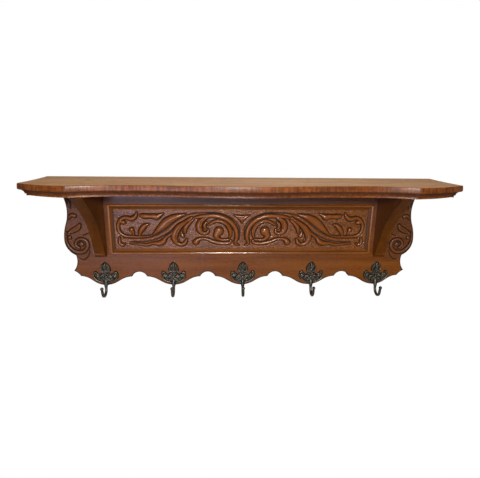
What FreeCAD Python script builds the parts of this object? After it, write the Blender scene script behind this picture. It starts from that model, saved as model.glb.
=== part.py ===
import FreeCAD, Part
import math
import os

# Carved oak coat rack with a shelf over five cast brass hooks.
# Millimetres. X runs along the wall, Y into it and Z up. The origin is on the wall face,
# midway between the two hanging holes. The woodwork is a mirror image of itself about X = 0.

V = FreeCAD.Vector

# Shelf. Its front edge runs through places from the middle to the corner, given as shares of
# half its width and of its depth.
shelf_top = 60.0
shelf_width = 1000.0
shelf_thick = 28.0
shelf_depth = 193.0
shelf_cheek_bulge = 9.0
shelf_side_hollow = 4.0
shelf_front_shares = [
    (0.0, 0.974),
    (0.24, 0.922),
    (0.36, 0.891),
    (0.48, 0.881),
    (0.636, 0.9015),
    (0.756, 1.0),
    (1.0, 0.7565),
]

# Edge moulding of the shelf: a flat with eased arrises, a quirk, a shallow cove and a fillet
edge_flat = 11.0
edge_arris = 3.0
edge_bevel = 3.5
edge_quirk = 3.0
quirk_drop = 1.0
cove_inset = 8.0
cove_middle_shares = (0.6, 0.4)
fillet_inset = 3.0
fillet_height = 4.5

# Back board. Its ends are arcs through points given as shares of its half width and height.
board_thick = 22.0
board_height = 261.3
shelf_overhang = 36.0
end_shares = [
    (1.005, 0.0),
    (0.969, 0.214),
    (0.981, 0.344),
    (0.995, 0.429),
    (1.0, 0.511),
    (0.986, 0.6085),
    (0.9435, 0.6774),
    (0.9392, 0.727),
    (0.9634, 0.842),
    (0.9422, 0.868),
    (0.9267, 0.9013),
]

# Scalloped lower edge: broad lobes under the hooks, small arches between them.
# A lobe's flank runs from its cusp to its lowest point, in shares of its half width and drop.
end_lobe_inset = 97.6
lobe_drop = 24.0
arch_half = 20.0
arch_rise = 13.5
flank_shares = [
    (0.0, 0.0),
    (0.225, 0.117),
    (0.42, 0.392),
    (0.585, 0.6875),
    (0.79, 0.925),
    (1.0, 1.0),
]

# Carved panel let into the board, and its mitred frame moulding
frame_end_gap = 116.5
frame_drop = 38.8
frame_hook_gap = 19.2
frame_width = 14.5
frame_proud = 3.5
frame_bead = 6.5
frame_quirk = 1.2
frame_bead_shares = [(0.15, 0.7), (0.5, 1.0), (0.85, 0.7)]
housing_depth = 10.0
ground_depth = 4.0
carving_root = 1.5

# Carving. Each stem is a list of places along it and its half width there. On the panel they
# are shares of the half width and half height inside the frame, from its middle, and the half
# width is a share of the half height. Only the right half is listed.
stem_rise_share = 0.9
stem_least_half = 0.8
stem_steps = 2
stem_section_shares = [(-1.0, 0.0), (-0.62, 0.72), (0.0, 1.0), (0.62, 0.72), (1.0, 0.0)]
ball_section_shares = [(1.0, 0.0), (0.82, 0.65), (0.4, 1.0)]
panel_stem_shares = {
    "outer_scroll": [
        (0.42, 0.48, 0.03), (0.357, 0.65, 0.075), (0.28, 0.71, 0.09), (0.203, 0.71, 0.095),
        (0.126, 0.604, 0.105), (0.068, 0.34, 0.108), (0.04, -0.03, 0.104),
        (0.045, -0.374, 0.075), (0.063, -0.6, 0.03),
    ],
    "inner_scroll": [
        (0.205, -0.12, 0.12), (0.211, -0.29, 0.1), (0.192, -0.463, 0.075),
        (0.157, -0.55, 0.062), (0.114, -0.5, 0.062), (0.086, -0.324, 0.057),
        (0.08, -0.027, 0.057), (0.098, 0.242, 0.062), (0.141, 0.41, 0.062),
        (0.195, 0.478, 0.062), (0.242, 0.385, 0.07), (0.261, 0.24, 0.03),
    ],
    "upper_curl": [
        (0.264, 0.58, 0.045), (0.311, 0.482, 0.085), (0.344, 0.24, 0.085),
        (0.347, -0.03, 0.085), (0.32, -0.19, 0.07), (0.285, -0.176, 0.057),
        (0.264, -0.053, 0.024),
    ],
    "lower_curl": [
        (0.403, 0.505, 0.048), (0.458, 0.36, 0.075), (0.513, 0.09, 0.085),
        (0.542, -0.225, 0.085), (0.541, -0.522, 0.085), (0.51, -0.71, 0.075),
        (0.467, -0.71, 0.075), (0.442, -0.522, 0.057), (0.439, -0.324, 0.028),
    ],
    "ball_leaf": [
        (0.357, -0.5, 0.085), (0.321, -0.452, 0.057), (0.274, -0.513, 0.048),
        (0.228, -0.637, 0.048), (0.165, -0.742, 0.048), (0.102, -0.696, 0.048),
        (0.082, -0.571, 0.04),
    ],
    "pointed_leaf": [
        (0.71, -0.275, 0.024), (0.661, -0.03, 0.1), (0.613, 0.286, 0.15),
        (0.549, 0.55, 0.14), (0.495, 0.67, 0.085), (0.445, 0.745, 0.02),
    ],
    "wave_leaf": [
        (0.877, -0.652, 0.018), (0.807, -0.672, 0.048), (0.76, -0.73, 0.06),
        (0.705, -0.672, 0.06), (0.658, -0.687, 0.1), (0.626, -0.571, 0.085),
        (0.6, -0.4, 0.057), (0.56, -0.225, 0.028),
    ],
    "end_scroll": [
        (0.83, 0.72, 0.04), (0.84, 0.585, 0.075), (0.872, 0.55, 0.105), (0.91, 0.61, 0.075),
        (0.946, 0.53, 0.062), (0.968, 0.31, 0.062), (0.969, 0.02, 0.066),
        (0.95, -0.215, 0.066), (0.905, -0.345, 0.057), (0.828, -0.375, 0.048),
        (0.718, -0.3, 0.033),
    ],
    "top_leaf": [
        (0.787, 0.67, 0.075), (0.733, 0.658, 0.085), (0.679, 0.634, 0.1),
        (0.652, 0.66, 0.06), (0.62, 0.768, 0.018),
    ],
    "bud": [
        (0.815, -0.275, 0.028), (0.801, -0.079, 0.085), (0.784, 0.068, 0.11),
        (0.76, 0.203, 0.075), (0.733, 0.247, 0.018),
    ],
}
panel_ball_shares = [
    (0.174, -0.053, 0.14),
    (0.369, -0.62, 0.12),
    (0.868, -0.02, 0.1),
    (0.955, -0.705, 0.085),
]
middle_leaf_shares = [(0.68, 0.34), (0.4, 0.02)]

# Volute at each end of the board, in shares of the board's half width and height
volute_stem_shares = {
    "volute": [
        (0.984, 0.436, 0.01), (0.991, 0.498, 0.014), (0.983, 0.566, 0.017),
        (0.963, 0.618, 0.017), (0.932, 0.643, 0.016), (0.896, 0.634, 0.016),
        (0.873, 0.586, 0.016), (0.878, 0.529, 0.014), (0.903, 0.506, 0.012),
        (0.929, 0.524, 0.012), (0.938, 0.569, 0.012), (0.921, 0.598, 0.011),
    ],
    "volute_leaf": [
        (0.967, 0.441, 0.01), (0.946, 0.421, 0.02), (0.919, 0.395, 0.022), (0.906, 0.36, 0.012),
    ],
    "volute_curl": [
        (0.965, 0.304, 0.008), (0.957, 0.278, 0.012), (0.942, 0.264, 0.014), (0.929, 0.27, 0.016),
    ],
}
volute_ball_shares = [(0.905, 0.56, 0.022), (0.967, 0.491, 0.017)]
volute_rise = 2.5

# Brackets
bracket_thick = 26.0
bracket_frame_gap = 7.5
bracket_hook_gap = 18.0
bracket_set_back = 28.0
bracket_nose = 18.0
bracket_nose_height = 9.0
bracket_curve_shares = [(0.34, 0.21), (0.72, 0.53)]
bracket_nose_share = 0.3

# Hooks, one to a lobe. They were fitted by eye, so each is some way right of its lobe's middle.
# Heights are measured from the lowest point of the lobe. The plate's outline is in shares of
# its half width and height, from its flame down to its stem.
hook_shifts = [3.1, 0.1, 3.4, 6.7, 2.8]
plate_thick = 3.0
plate_half_width = 33.5
plate_height = 67.3
plate_edge = 1.2
plate_front_share = 0.93
plate_arc_steps = 3
plate_shares = [
    (0.0, 1.0),
    (0.25, 0.9),
    (0.43, 0.68),
    (0.4, 0.6),
    (0.24, 0.555),
    (0.45, 0.5),
    (0.62, 0.545),
    (0.8, 0.615),
    (0.98, 0.52),
    (0.99, 0.36),
    (0.7, 0.18),
    (0.38, 0.115),
    (0.17, 0.02),
]
slot_share = (0.16, 0.75)
slot_long = 8.0
slot_wide = 3.0
rod_radius = 3.7
rod_gap = 0.4
rod_bend = 16.5
rod_bend_drop = 4.2
rod_tip_rise = 6.3
rod_flare = 2.5
bend_steps = 7
neck_share = 0.8
ball_radius = 4.5
ball_ring_shares = (-1.0, -0.7, -0.25, 0.25, 0.7, 1.0)
boss_radius = 6.2
boss_rise = 27.0
boss_shares = [(1.0, 0.55), (0.85, 0.9), (0.6, 1.0), (0.35, 0.85)]

# Fasteners. Screws are listed as head radius, head thickness, shank radius and length below
# the head. Small round things are drawn with flats, which keeps their meshes light.
bar_sides = 10
screw_sides = 8
fit_gap = 0.05
hook_screw = (3.1, 1.2, 1.6, 15.0)
hook_screw_half_pitch = 22.0
hook_screw_rise = 24.8
wood_screw = (4.2, 2.5, 2.2, 45.0)
bracket_screw_drop = 34.0
bracket_screw_pitch = 88.0
shelf_screw_y = -78.0
shelf_screw_sink = 9.0
plug_radius = 6.0

# Hanging plates let into the back, each with a keyhole for the head of a wall screw
hanger_inset = 47.5
hanger_width = 18.0
hanger_height = 46.0
hanger_thick = 2.5
hanger_hole_radius = 4.5
hanger_slot_radius = 2.2
hanger_slot_rise = 10.0
hanger_pocket_depth = 7.0
hanger_pocket_edge = 1.5
hanger_screw = (2.9, 1.2, 1.5, 9.0)
hanger_screw_rise = 18.0
overrun = 5.0

# Places worked out from the sizes above
edge_reach = edge_bevel + edge_quirk + cove_inset + fillet_inset
board_top = shelf_top - shelf_thick
board_face = -board_thick
board_foot = board_top - board_height
board_half_width = shelf_width / 2 - shelf_overhang
last_lobe_x = board_half_width - end_lobe_inset
lobe_pitch = 2 * last_lobe_x / (len(hook_shifts) - 1)
hook_xs = [lobe_pitch * n - last_lobe_x + shift for n, shift in enumerate(hook_shifts)]
arch_xs = [lobe_pitch * (n + 0.5) - last_lobe_x for n in range(len(hook_shifts) - 1)]
frame_half_width = board_half_width - frame_end_gap
frame_height = board_height - frame_drop - plate_height - frame_hook_gap
frame_top = board_top - frame_drop
frame_foot = frame_top - frame_height
frame_middle = (frame_top + frame_foot) / 2
field_half_width = frame_half_width - frame_width
field_half_height = frame_height / 2 - frame_width
panel_face = board_face + ground_depth
panel_back = board_face + housing_depth
plate_face = board_face - plate_thick
rod_y = plate_face - rod_gap - rod_radius
bracket_centre_x = frame_half_width + bracket_frame_gap + bracket_thick / 2
bracket_height = board_height - plate_height - bracket_hook_gap
bracket_reach = shelf_depth - board_thick - bracket_set_back
hanger_half_pitch = frame_half_width - hanger_inset


def arc(a, b, c):
    return Part.Arc(a, b, c).toShape()


def line(a, b):
    return Part.LineSegment(a, b).toShape()


def polygon(points):
    return Part.makePolygon(list(points) + [points[0]])


def mirrored_x(shape):
    return shape.mirror(V(0, 0, 0), V(1, 0, 0))


def mirror_point(p):
    return V(-p.x, p.y, p.z)


def closed_face(edges):
    return Part.Face(Part.Wire(Part.__sortEdges__(edges)))


def block(x0, x1, y0, y1, z0, z1):
    return Part.makeBox(x1 - x0, y1 - y0, z1 - z0, V(x0, y0, z0))


def ring(centre, radius, direction, sides=bar_sides):
    """Corners round a bar, drawn with flats, square to a direction that has no X in it."""
    up = direction.cross(V(1, 0, 0)).normalize() * radius
    side = V(radius, 0, 0)
    turns = [2 * math.pi * (i + 0.5) / sides for i in range(sides)]
    return [centre + side * math.cos(t) + up * math.sin(t) for t in turns]


def skin(rings):
    """Solid that runs through rings of like corners, made of flat facets and flat at its ends."""
    faces = [Part.Face(polygon(rings[0])), Part.Face(polygon(rings[-1]))]
    for a, b in zip(rings, rings[1:]):
        for i in range(len(a)):
            faces.append(Part.Face(polygon([a[i - 1], a[i], b[i]])))
            faces.append(Part.Face(polygon([a[i - 1], b[i], b[i - 1]])))
    shell = Part.makeShell(faces)
    shell.sewShape()
    solid = Part.makeSolid(shell)
    if solid.Volume < 0:
        solid.reverse()
    return solid.removeSplitter()


def pin(radius, length, start, direction):
    """Straight length of a screw or plug."""
    return Part.Face(polygon(ring(start, radius, direction, screw_sides))).extrude(direction * length)


def screw(size, seat, direction):
    """Flat-headed screw: the underside of its head rests at seat, and it runs along direction."""
    head_radius, head_thick, radius, length = size
    head = pin(head_radius, head_thick, seat - direction * head_thick, direction)
    return head.fuse(pin(radius, length, seat, direction))


def screw_hole(size, seat, direction):
    """Room for a screw with the usual gap all round it, open behind its head."""
    head_radius, head_thick, radius, length = size
    start = seat - direction * (head_thick + overrun)
    behind = pin(head_radius + fit_gap, head_thick + overrun, start, direction)
    return behind.fuse(pin(radius + fit_gap, length + fit_gap, seat, direction))


# Shelf board
def shelf_outline():
    """Serpentine outline, run on past the wall so that only the shelf's open edges are moulded."""
    half = shelf_width / 2
    front = [V(half * x, -shelf_depth * depth, 0) for x, depth in shelf_front_shares]
    middle, bow, flank, cusp, sweep, shoulder, corner = front
    cheek = (shoulder + corner) * 0.5 - V(0, shelf_cheek_bulge, 0)
    side_middle = V(half - shelf_side_hollow, corner.y / 2, 0)
    wall_end, far_end = V(half, 0, 0), V(half, edge_reach, 0)
    right = [
        arc(bow, flank, cusp),
        arc(cusp, sweep, shoulder),
        arc(shoulder, cheek, corner),
        arc(corner, side_middle, wall_end),
        line(wall_end, far_end),
    ]
    across = [arc(mirror_point(bow), middle, bow), line(far_end, mirror_point(far_end))]
    return Part.Wire(Part.__sortEdges__(right + across + [mirrored_x(e) for e in right]))


def edge_profile():
    """Edge moulding from the top down, as pairs of inset from the outline and drop below the top."""
    eased = edge_arris * (1 - math.sqrt(0.5))
    points = [(edge_arris, 0), (eased, eased), (0, edge_arris), (0, edge_flat)]
    ledge = edge_flat + edge_bevel
    cove_start, cove_top = edge_bevel + edge_quirk, ledge + quirk_drop
    cove_drop = shelf_thick - fillet_height - cove_top
    points += [(edge_bevel, ledge), (cove_start, ledge)]
    for across, down in ((0, 0), cove_middle_shares, (1, 1)):
        points.append((cove_start + cove_inset * across, cove_top + cove_drop * down))
    points += [(edge_reach, cove_top + cove_drop), (edge_reach, shelf_thick)]
    return points


def make_shelf():
    """The board as a stack of slices, one between each two heights of the moulding."""
    outline = shelf_outline()
    slices = []
    profile = edge_profile()
    for (inset_a, drop_a), (inset_b, drop_b) in zip(profile, profile[1:]):
        if drop_a == drop_b:
            continue
        rings = []
        for inset, drop in ((inset_a, drop_a), (inset_b, drop_b)):
            ring = outline.makeOffset2D(-inset, 2) if inset else outline.copy()
            ring.translate(V(0, 0, shelf_top - drop))
            rings.append(ring)
        slices.append(Part.makeLoft(rings, True, True))
    board = slices[0].multiFuse(slices[1:]).removeSplitter()
    board = board.common(block(-shelf_width, shelf_width, -shelf_width, 0, board_top, shelf_top))
    holes = []
    for seat in shelf_screw_seats():
        holes.append(screw_hole(wood_screw, seat, V(0, 0, -1)))
        holes.append(pin(plug_radius + fit_gap, shelf_screw_sink + overrun, seat, V(0, 0, 1)))
    return board.cut(holes)


def shelf_screw_seats():
    """Seats of the screws that go down through the shelf into the brackets."""
    return [V(side * bracket_centre_x, shelf_screw_y, shelf_top - shelf_screw_sink) for side in (-1, 1)]


def make_shelf_screws():
    return [screw(wood_screw, seat, V(0, 0, -1)) for seat in shelf_screw_seats()]


def make_shelf_plugs():
    """Turned plugs over the screws, sanded off flush with the top."""
    head_thick = wood_screw[1]
    return [pin(plug_radius, shelf_screw_sink - head_thick, seat + V(0, 0, head_thick), V(0, 0, 1))
            for seat in shelf_screw_seats()]


# Carving
def stem(points, floor_y, rise):
    """Carved stem on a flat ground: ridged sections lofted along a smooth line.

    points are (x, z, half width); the stem grows out of the ground at floor_y towards -Y.
    """
    guide = Part.BSplineCurve()
    guide.interpolate([V(x, half, z) for x, z, half in points])
    places = guide.discretize(stem_steps * (len(points) - 1) + 1)
    sections = []
    for i, place in enumerate(places):
        along = places[min(i + 1, len(places) - 1)] - places[max(i - 1, 0)]
        half = max(place.y, stem_least_half)
        across = V(-along.z, 0, along.x).normalize() * half
        height = min(rise, half * stem_rise_share)
        corners = []
        for width_share, height_share in stem_section_shares:
            corners.append(V(place.x, floor_y - height * height_share, place.z) + across * width_share)
        root = V(0, carving_root, 0)
        sections.append(corners + [corners[-1] + root, corners[0] + root])
    return skin(sections)


def carved_ball(x, z, radius, floor_y, rise):
    """Rounded boss that stands out of the ground by no more than the stems do."""
    height = min(rise, radius)
    rings = [ring(V(x, floor_y + carving_root, z), radius, V(0, -1, 0))]
    for width_share, height_share in ball_section_shares:
        middle = V(x, floor_y - height * height_share, z)
        rings.append(ring(middle, radius * width_share, V(0, -1, 0)))
    return skin(rings)


def panel_place(x_share, z_share):
    return field_half_width * x_share, frame_middle + field_half_height * z_share


def make_carved_panel():
    """Panel in the board's housing, with the scrollwork standing on its lowered ground."""
    half_height = frame_height / 2
    blank = block(-frame_half_width + fit_gap, frame_half_width - fit_gap, panel_face, panel_back,
                  frame_middle - half_height + fit_gap, frame_middle + half_height - fit_gap)
    right = []
    for shares in panel_stem_shares.values():
        line_of_stem = [panel_place(x, z) + (field_half_height * w,) for x, z, w in shares]
        right.append(stem(line_of_stem, panel_face, ground_depth))
    for x, z, r in panel_ball_shares:
        place = panel_place(x, z)
        right.append(carved_ball(place[0], place[1], field_half_height * r, panel_face, ground_depth))
    (top_z, top_half), (foot_z, foot_half) = middle_leaf_shares
    leaf = [(0, frame_middle + field_half_height * z, field_half_height * w)
            for z, w in ((top_z, top_half), (foot_z, foot_half))]
    pieces = right + [mirrored_x(s) for s in right] + [stem(leaf, panel_face, ground_depth)]
    return blank.multiFuse(pieces)


# Back board
def board_outline():
    """Outline of the board: shaped ends, and lobes and arches along the lower edge."""
    ends = [V(board_half_width * x, board_face, board_top - board_height * z) for x, z in end_shares]
    right = [arc(ends[i], ends[i + 1], ends[i + 2]) for i in range(0, len(ends) - 1, 2)]
    cusp = ends[-1]
    arch_foot = board_foot + lobe_drop

    def flank(lobe_x, cusp_x, cusp_z):
        reach, drop = lobe_x - cusp_x, board_foot - cusp_z
        p = [V(cusp_x + reach * x, board_face, cusp_z + drop * z) for x, z in flank_shares]
        return [arc(p[0], p[1], p[2]), line(p[2], p[3]), arc(p[3], p[4], p[5])]

    lower = flank(last_lobe_x, cusp.x, cusp.z) + flank(-last_lobe_x, -cusp.x, cusp.z)
    for x in arch_xs:
        left_foot = V(x - arch_half, board_face, arch_foot)
        right_foot = V(x + arch_half, board_face, arch_foot)
        lower.append(arc(left_foot, V(x, board_face, arch_foot + arch_rise), right_foot))
        lower += flank(x - lobe_pitch / 2, left_foot.x, arch_foot)
        lower += flank(x + lobe_pitch / 2, right_foot.x, arch_foot)
    top = line(ends[0], mirror_point(ends[0]))
    return right + [mirrored_x(e) for e in right] + lower + [top]


def volute_carving():
    """Raised volutes at both ends of the board, following its outline."""
    right = []
    for shares in volute_stem_shares.values():
        points = [(board_half_width * x, board_top - board_height * z, board_height * w)
                  for x, z, w in shares]
        right.append(stem(points, board_face, volute_rise))
    for x, z, r in volute_ball_shares:
        right.append(carved_ball(board_half_width * x, board_top - board_height * z, board_height * r,
                                 board_face, volute_rise))
    return right + [mirrored_x(s) for s in right]


def make_back_board():
    outline = closed_face(board_outline())
    in_front = outline.extrude(V(0, -board_thick, 0))
    board = outline.extrude(V(0, board_thick, 0))
    board = board.multiFuse([s.common(in_front) for s in volute_carving()])
    holes = [block(-frame_half_width, frame_half_width, board_face - overrun, panel_back,
                   frame_foot, frame_top)]
    holes += [screw_hole(hook_screw, seat, V(0, 1, 0)) for seat in hook_screw_seats()]
    holes += [screw_hole(wood_screw, seat, V(0, -1, 0)) for seat in bracket_screw_seats()]
    for side in (-1, 1):
        holes += hanger_recess(side * hanger_half_pitch)
    return board.cut(holes)


# Frame moulding: a bead proud of the board, then a slope down to the carved ground
def frame_profile():
    """Profile across the moulding, as pairs of distance in from its outer edge and place along Y."""
    points = [(0, panel_face), (0, board_face), (frame_quirk, board_face)]
    for across, proud in frame_bead_shares:
        points.append((frame_quirk + frame_bead * across, board_face - frame_proud * proud))
    points.append((frame_quirk + frame_bead, board_face))
    points.append((frame_width, panel_face))
    return points


def make_frame_member(direction):
    """One mitred length, lofted between its two mitres; direction points outwards from the panel."""
    along = V(-direction.z, 0, direction.x)
    reach = abs(direction.x) * frame_half_width + abs(direction.z) * frame_height / 2
    half_length = abs(along.x) * frame_half_width + abs(along.z) * frame_height / 2
    ends = []
    for side in (-1, 1):
        points = []
        for inset, y in frame_profile():
            place = direction * (reach - inset - fit_gap) + along * (side * (half_length - inset - fit_gap))
            points.append(place + V(0, y, frame_middle))
        ends.append(points)
    return skin(ends)


# Brackets
def make_bracket(side):
    """Solid bracket with a hollow front and a small rounded nose at its foot."""
    x = side * bracket_centre_x - bracket_thick / 2
    foot = board_top - bracket_height
    tip = V(x, board_face - bracket_reach, board_top)
    nose_top = V(x, board_face - bracket_nose, foot + bracket_nose_height)
    nose_foot = V(x, board_face - bracket_nose / 2, foot)
    nose_middle = (nose_top + nose_foot) * 0.5 - V(0, 1, 1) * (bracket_nose_height * bracket_nose_share)
    span = nose_top - tip
    hollow = Part.BSplineCurve()
    between = [tip + V(0, span.y * y, span.z * z) for y, z in bracket_curve_shares]
    hollow.interpolate([tip] + between + [nose_top])
    front = [hollow.toShape(), arc(nose_top, nose_middle, nose_foot)]
    back = Part.makePolygon([nose_foot, V(x, board_face, foot), V(x, board_face, board_top), tip])
    body = closed_face(front + back.Edges).extrude(V(bracket_thick, 0, 0))
    holes = [screw_hole(wood_screw, seat, V(0, -1, 0)) for seat in bracket_screw_seats()]
    holes += [screw_hole(wood_screw, seat, V(0, 0, -1)) for seat in shelf_screw_seats()]
    return body.cut(holes)


def bracket_screw_seats():
    """Seats of the screws that go through the board into the brackets, heads flush with its back."""
    first = board_top - bracket_screw_drop
    return [V(side * bracket_centre_x, -wood_screw[1], first - bracket_screw_pitch * i)
            for side in (-1, 1) for i in (0, 1)]


def make_bracket_screws():
    return [screw(wood_screw, seat, V(0, -1, 0)) for seat in bracket_screw_seats()]


# Hanging plates: the wall screw's head enters the round hole and slides up the slot
def hanger_blank(centre_x, grow):
    """Plain plate, larger by grow on its four edges."""
    wide, high = hanger_width / 2 + grow, hanger_height / 2 + grow
    return block(centre_x - wide, centre_x + wide, -hanger_thick, 0, -high, high)


def keyhole(centre_x):
    """Round hole at the origin's height with a narrower slot above it."""
    start, depth = V(centre_x, overrun, 0), 2 * overrun
    hole = Part.makeCylinder(hanger_hole_radius, depth, start, V(0, -1, 0))
    end = Part.makeCylinder(hanger_slot_radius, depth, start + V(0, 0, hanger_slot_rise), V(0, -1, 0))
    slot = block(centre_x - hanger_slot_radius, centre_x + hanger_slot_radius,
                 overrun - depth, overrun, 0, hanger_slot_rise)
    return hole.multiFuse([slot, end]).removeSplitter()


def hanger_screw_seats(centre_x):
    return [V(centre_x, -hanger_screw[1], rise) for rise in (-hanger_screw_rise, hanger_screw_rise)]


def hanger_recess(centre_x):
    """Seat of one hanging plate, the pocket behind its keyhole and its screw holes."""
    seat = hanger_blank(centre_x, fit_gap)
    wide = hanger_hole_radius + hanger_pocket_edge
    pocket = block(centre_x - wide, centre_x + wide, -hanger_thick - hanger_pocket_depth, 0,
                   -wide, hanger_slot_rise + wide / 2)
    return [seat, pocket] + [screw_hole(hanger_screw, s, V(0, -1, 0)) for s in hanger_screw_seats(centre_x)]


def make_hanger(side):
    centre_x = side * hanger_half_pitch
    holes = [screw_hole(hanger_screw, s, V(0, -1, 0)) for s in hanger_screw_seats(centre_x)]
    return hanger_blank(centre_x, 0).cut([keyhole(centre_x)] + holes)


def make_hanger_screws():
    return [screw(hanger_screw, s, V(0, -1, 0)) for side in (-1, 1)
            for s in hanger_screw_seats(side * hanger_half_pitch)]


# Hooks
def hook_screw_seats():
    """Seats of every hook's two screws, on the face of its plate."""
    rise = board_foot + hook_screw_rise
    return [V(x + side * hook_screw_half_pitch, plate_face, rise) for x in hook_xs for side in (-1, 1)]


def make_hook_screws():
    return [screw(hook_screw, seat, V(0, 1, 0)) for seat in hook_screw_seats()]


def hook_plate(x):
    """Cartouche plate: a flame above two wings, drawn in to the stem, with a sloped cast edge."""
    right = [V(x + plate_half_width * u, board_face, board_foot + plate_height * v) for u, v in plate_shares]
    outline = []
    for i in range(0, len(right) - 1, 2):
        outline += arc(right[i], right[i + 1], right[i + 2]).discretize(plate_arc_steps + 1)[:-1]
    outline.append(right[-1])
    outline += [V(2 * x - p.x, p.y, p.z) for p in reversed(outline[1:])]
    middle = V(x, board_face, board_foot + plate_height / 2)
    edge = [p - V(0, plate_edge, 0) for p in outline]
    front = [middle + (p - middle) * plate_front_share - V(0, plate_thick, 0) for p in outline]
    return skin([outline, edge, front])


def hook_rod(x):
    """The bar of a hook: a tapered boss on the plate, a round bend and a ball at the tip."""
    down, up = V(0, 0, -1), V(0, -rod_flare, rod_tip_rise + rod_bend_drop).normalize()
    rings = [ring(V(x, rod_y, board_foot + boss_rise * rise), boss_radius * r, down)
             for rise, r in boss_shares]
    rings.append(ring(V(x, rod_y, board_foot), rod_radius, down))
    bend_centre = V(x, rod_y - rod_bend, board_foot - rod_bend_drop)
    for i in range(bend_steps + 1):
        turn = math.pi * i / bend_steps
        out = V(0, math.cos(turn), -math.sin(turn))
        rings.append(ring(bend_centre + out * rod_bend, rod_radius, V(0, -math.sin(turn), -math.cos(turn))))
    ball_centre = V(x, rod_y - 2 * rod_bend - rod_flare, board_foot + rod_tip_rise)
    for share in ball_ring_shares:
        radius = max(ball_radius * math.sqrt(1 - share * share), rod_radius * neck_share if share < 0 else 0)
        if radius:
            rings.append(ring(ball_centre + up * (ball_radius * share), radius, up))
    return skin(rings)


def make_hook(x):
    """Cast hook: a flat pierced plate with its bar in one piece."""
    slots = []
    for side in (-1, 1):
        middle_x = x + side * plate_half_width * slot_share[0]
        middle_z = board_foot + plate_height * slot_share[1]
        slots.append(block(middle_x - slot_wide / 2, middle_x + slot_wide / 2,
                           plate_face - overrun, board_face + overrun,
                           middle_z - slot_long / 2, middle_z + slot_long / 2))
    holes = [screw_hole(hook_screw, s, V(0, 1, 0)) for s in hook_screw_seats()
             if abs(s.x - x) < plate_half_width]
    return hook_plate(x).cut(slots + holes).fuse(hook_rod(x))


def save(name, made):
    """Writes one sub-part, which is a solid or a list of like solids."""
    shapes = made if isinstance(made, list) else [made]
    solids = [s for shape in shapes for s in shape.Solids]
    for s in solids:
        if not s.isValid() or s.Volume <= 0:
            print("bad solid in", name)
    whole = solids[0] if len(solids) == 1 else Part.makeCompound(solids)
    whole.exportStep("parts/" + name + ".step")
    print(name, len(solids), "solids", round(whole.Volume / 1000, 2), "cm3")


os.makedirs("parts", exist_ok=True)
save("shelf_board", make_shelf())
save("back_board", make_back_board())
save("carved_panel", make_carved_panel())
save("panel_moulding_top", make_frame_member(V(0, 0, 1)))
save("panel_moulding_bottom", make_frame_member(V(0, 0, -1)))
save("panel_moulding_left", make_frame_member(V(-1, 0, 0)))
save("panel_moulding_right", make_frame_member(V(1, 0, 0)))
save("left_bracket", make_bracket(-1))
save("right_bracket", make_bracket(1))
for number, hook_x in enumerate(hook_xs, 1):
    save("hook_" + str(number), make_hook(hook_x))
save("hook_screws", make_hook_screws())
save("bracket_screws", make_bracket_screws())
save("shelf_screws", make_shelf_screws())
save("shelf_plugs", make_shelf_plugs())
save("left_hanging_plate", make_hanger(-1))
save("right_hanging_plate", make_hanger(1))
save("hanging_plate_screws", make_hanger_screws())
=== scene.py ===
import math

import bmesh
import bpy
import numpy as np
from mathutils import Matrix, Vector
from mathutils.geometry import delaunay_2d_cdt


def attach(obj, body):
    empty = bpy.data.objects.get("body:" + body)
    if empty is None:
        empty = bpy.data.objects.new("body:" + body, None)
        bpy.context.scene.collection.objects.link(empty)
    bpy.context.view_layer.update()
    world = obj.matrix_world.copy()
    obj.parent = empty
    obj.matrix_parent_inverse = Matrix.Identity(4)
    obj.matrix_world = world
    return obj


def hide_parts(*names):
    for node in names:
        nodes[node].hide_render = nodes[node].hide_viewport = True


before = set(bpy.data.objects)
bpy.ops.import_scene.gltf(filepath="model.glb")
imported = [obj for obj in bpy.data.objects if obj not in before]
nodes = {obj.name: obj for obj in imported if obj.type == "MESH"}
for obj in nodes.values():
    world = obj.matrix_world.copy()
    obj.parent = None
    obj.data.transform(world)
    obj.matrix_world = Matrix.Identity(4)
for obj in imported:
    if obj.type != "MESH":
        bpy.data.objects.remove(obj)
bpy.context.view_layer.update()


# The room. The rack hangs in front of a plain white sweep, a floor that turns up into a wall
# well behind it, as in a catalogue photograph. The sweep shows plain white to the camera and is
# pale grey to everything else, so that little light comes off it.
def linear(hex_colour):
    """sRGB hex colour as linear red, green, blue and alpha."""
    parts = [int(hex_colour[i:i + 2], 16) / 255 for i in (1, 3, 5)]
    return [p / 12.92 if p <= 0.04045 else ((p + 0.055) / 1.055) ** 2.4 for p in parts] + [1.0]


def add_node(tree, kind, settings=None, links=None):
    """Adds a shader node; settings go to its attributes or inputs, links join inputs to outputs."""
    made = tree.nodes.new(kind)
    for key, value in (settings or {}).items():
        if isinstance(key, str) and hasattr(made, key):
            setattr(made, key, value)
        else:
            made.inputs[key].default_value = value
    for key, output in (links or {}).items():
        tree.links.new(output, made.inputs[key])
    return made


def new_finish(name):
    """Empty material, with its node tree and its output."""
    finish = bpy.data.materials.new(name)
    finish.use_nodes = True
    finish.node_tree.nodes.clear()
    return finish, finish.node_tree, finish.node_tree.nodes.new("ShaderNodeOutputMaterial")


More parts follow.
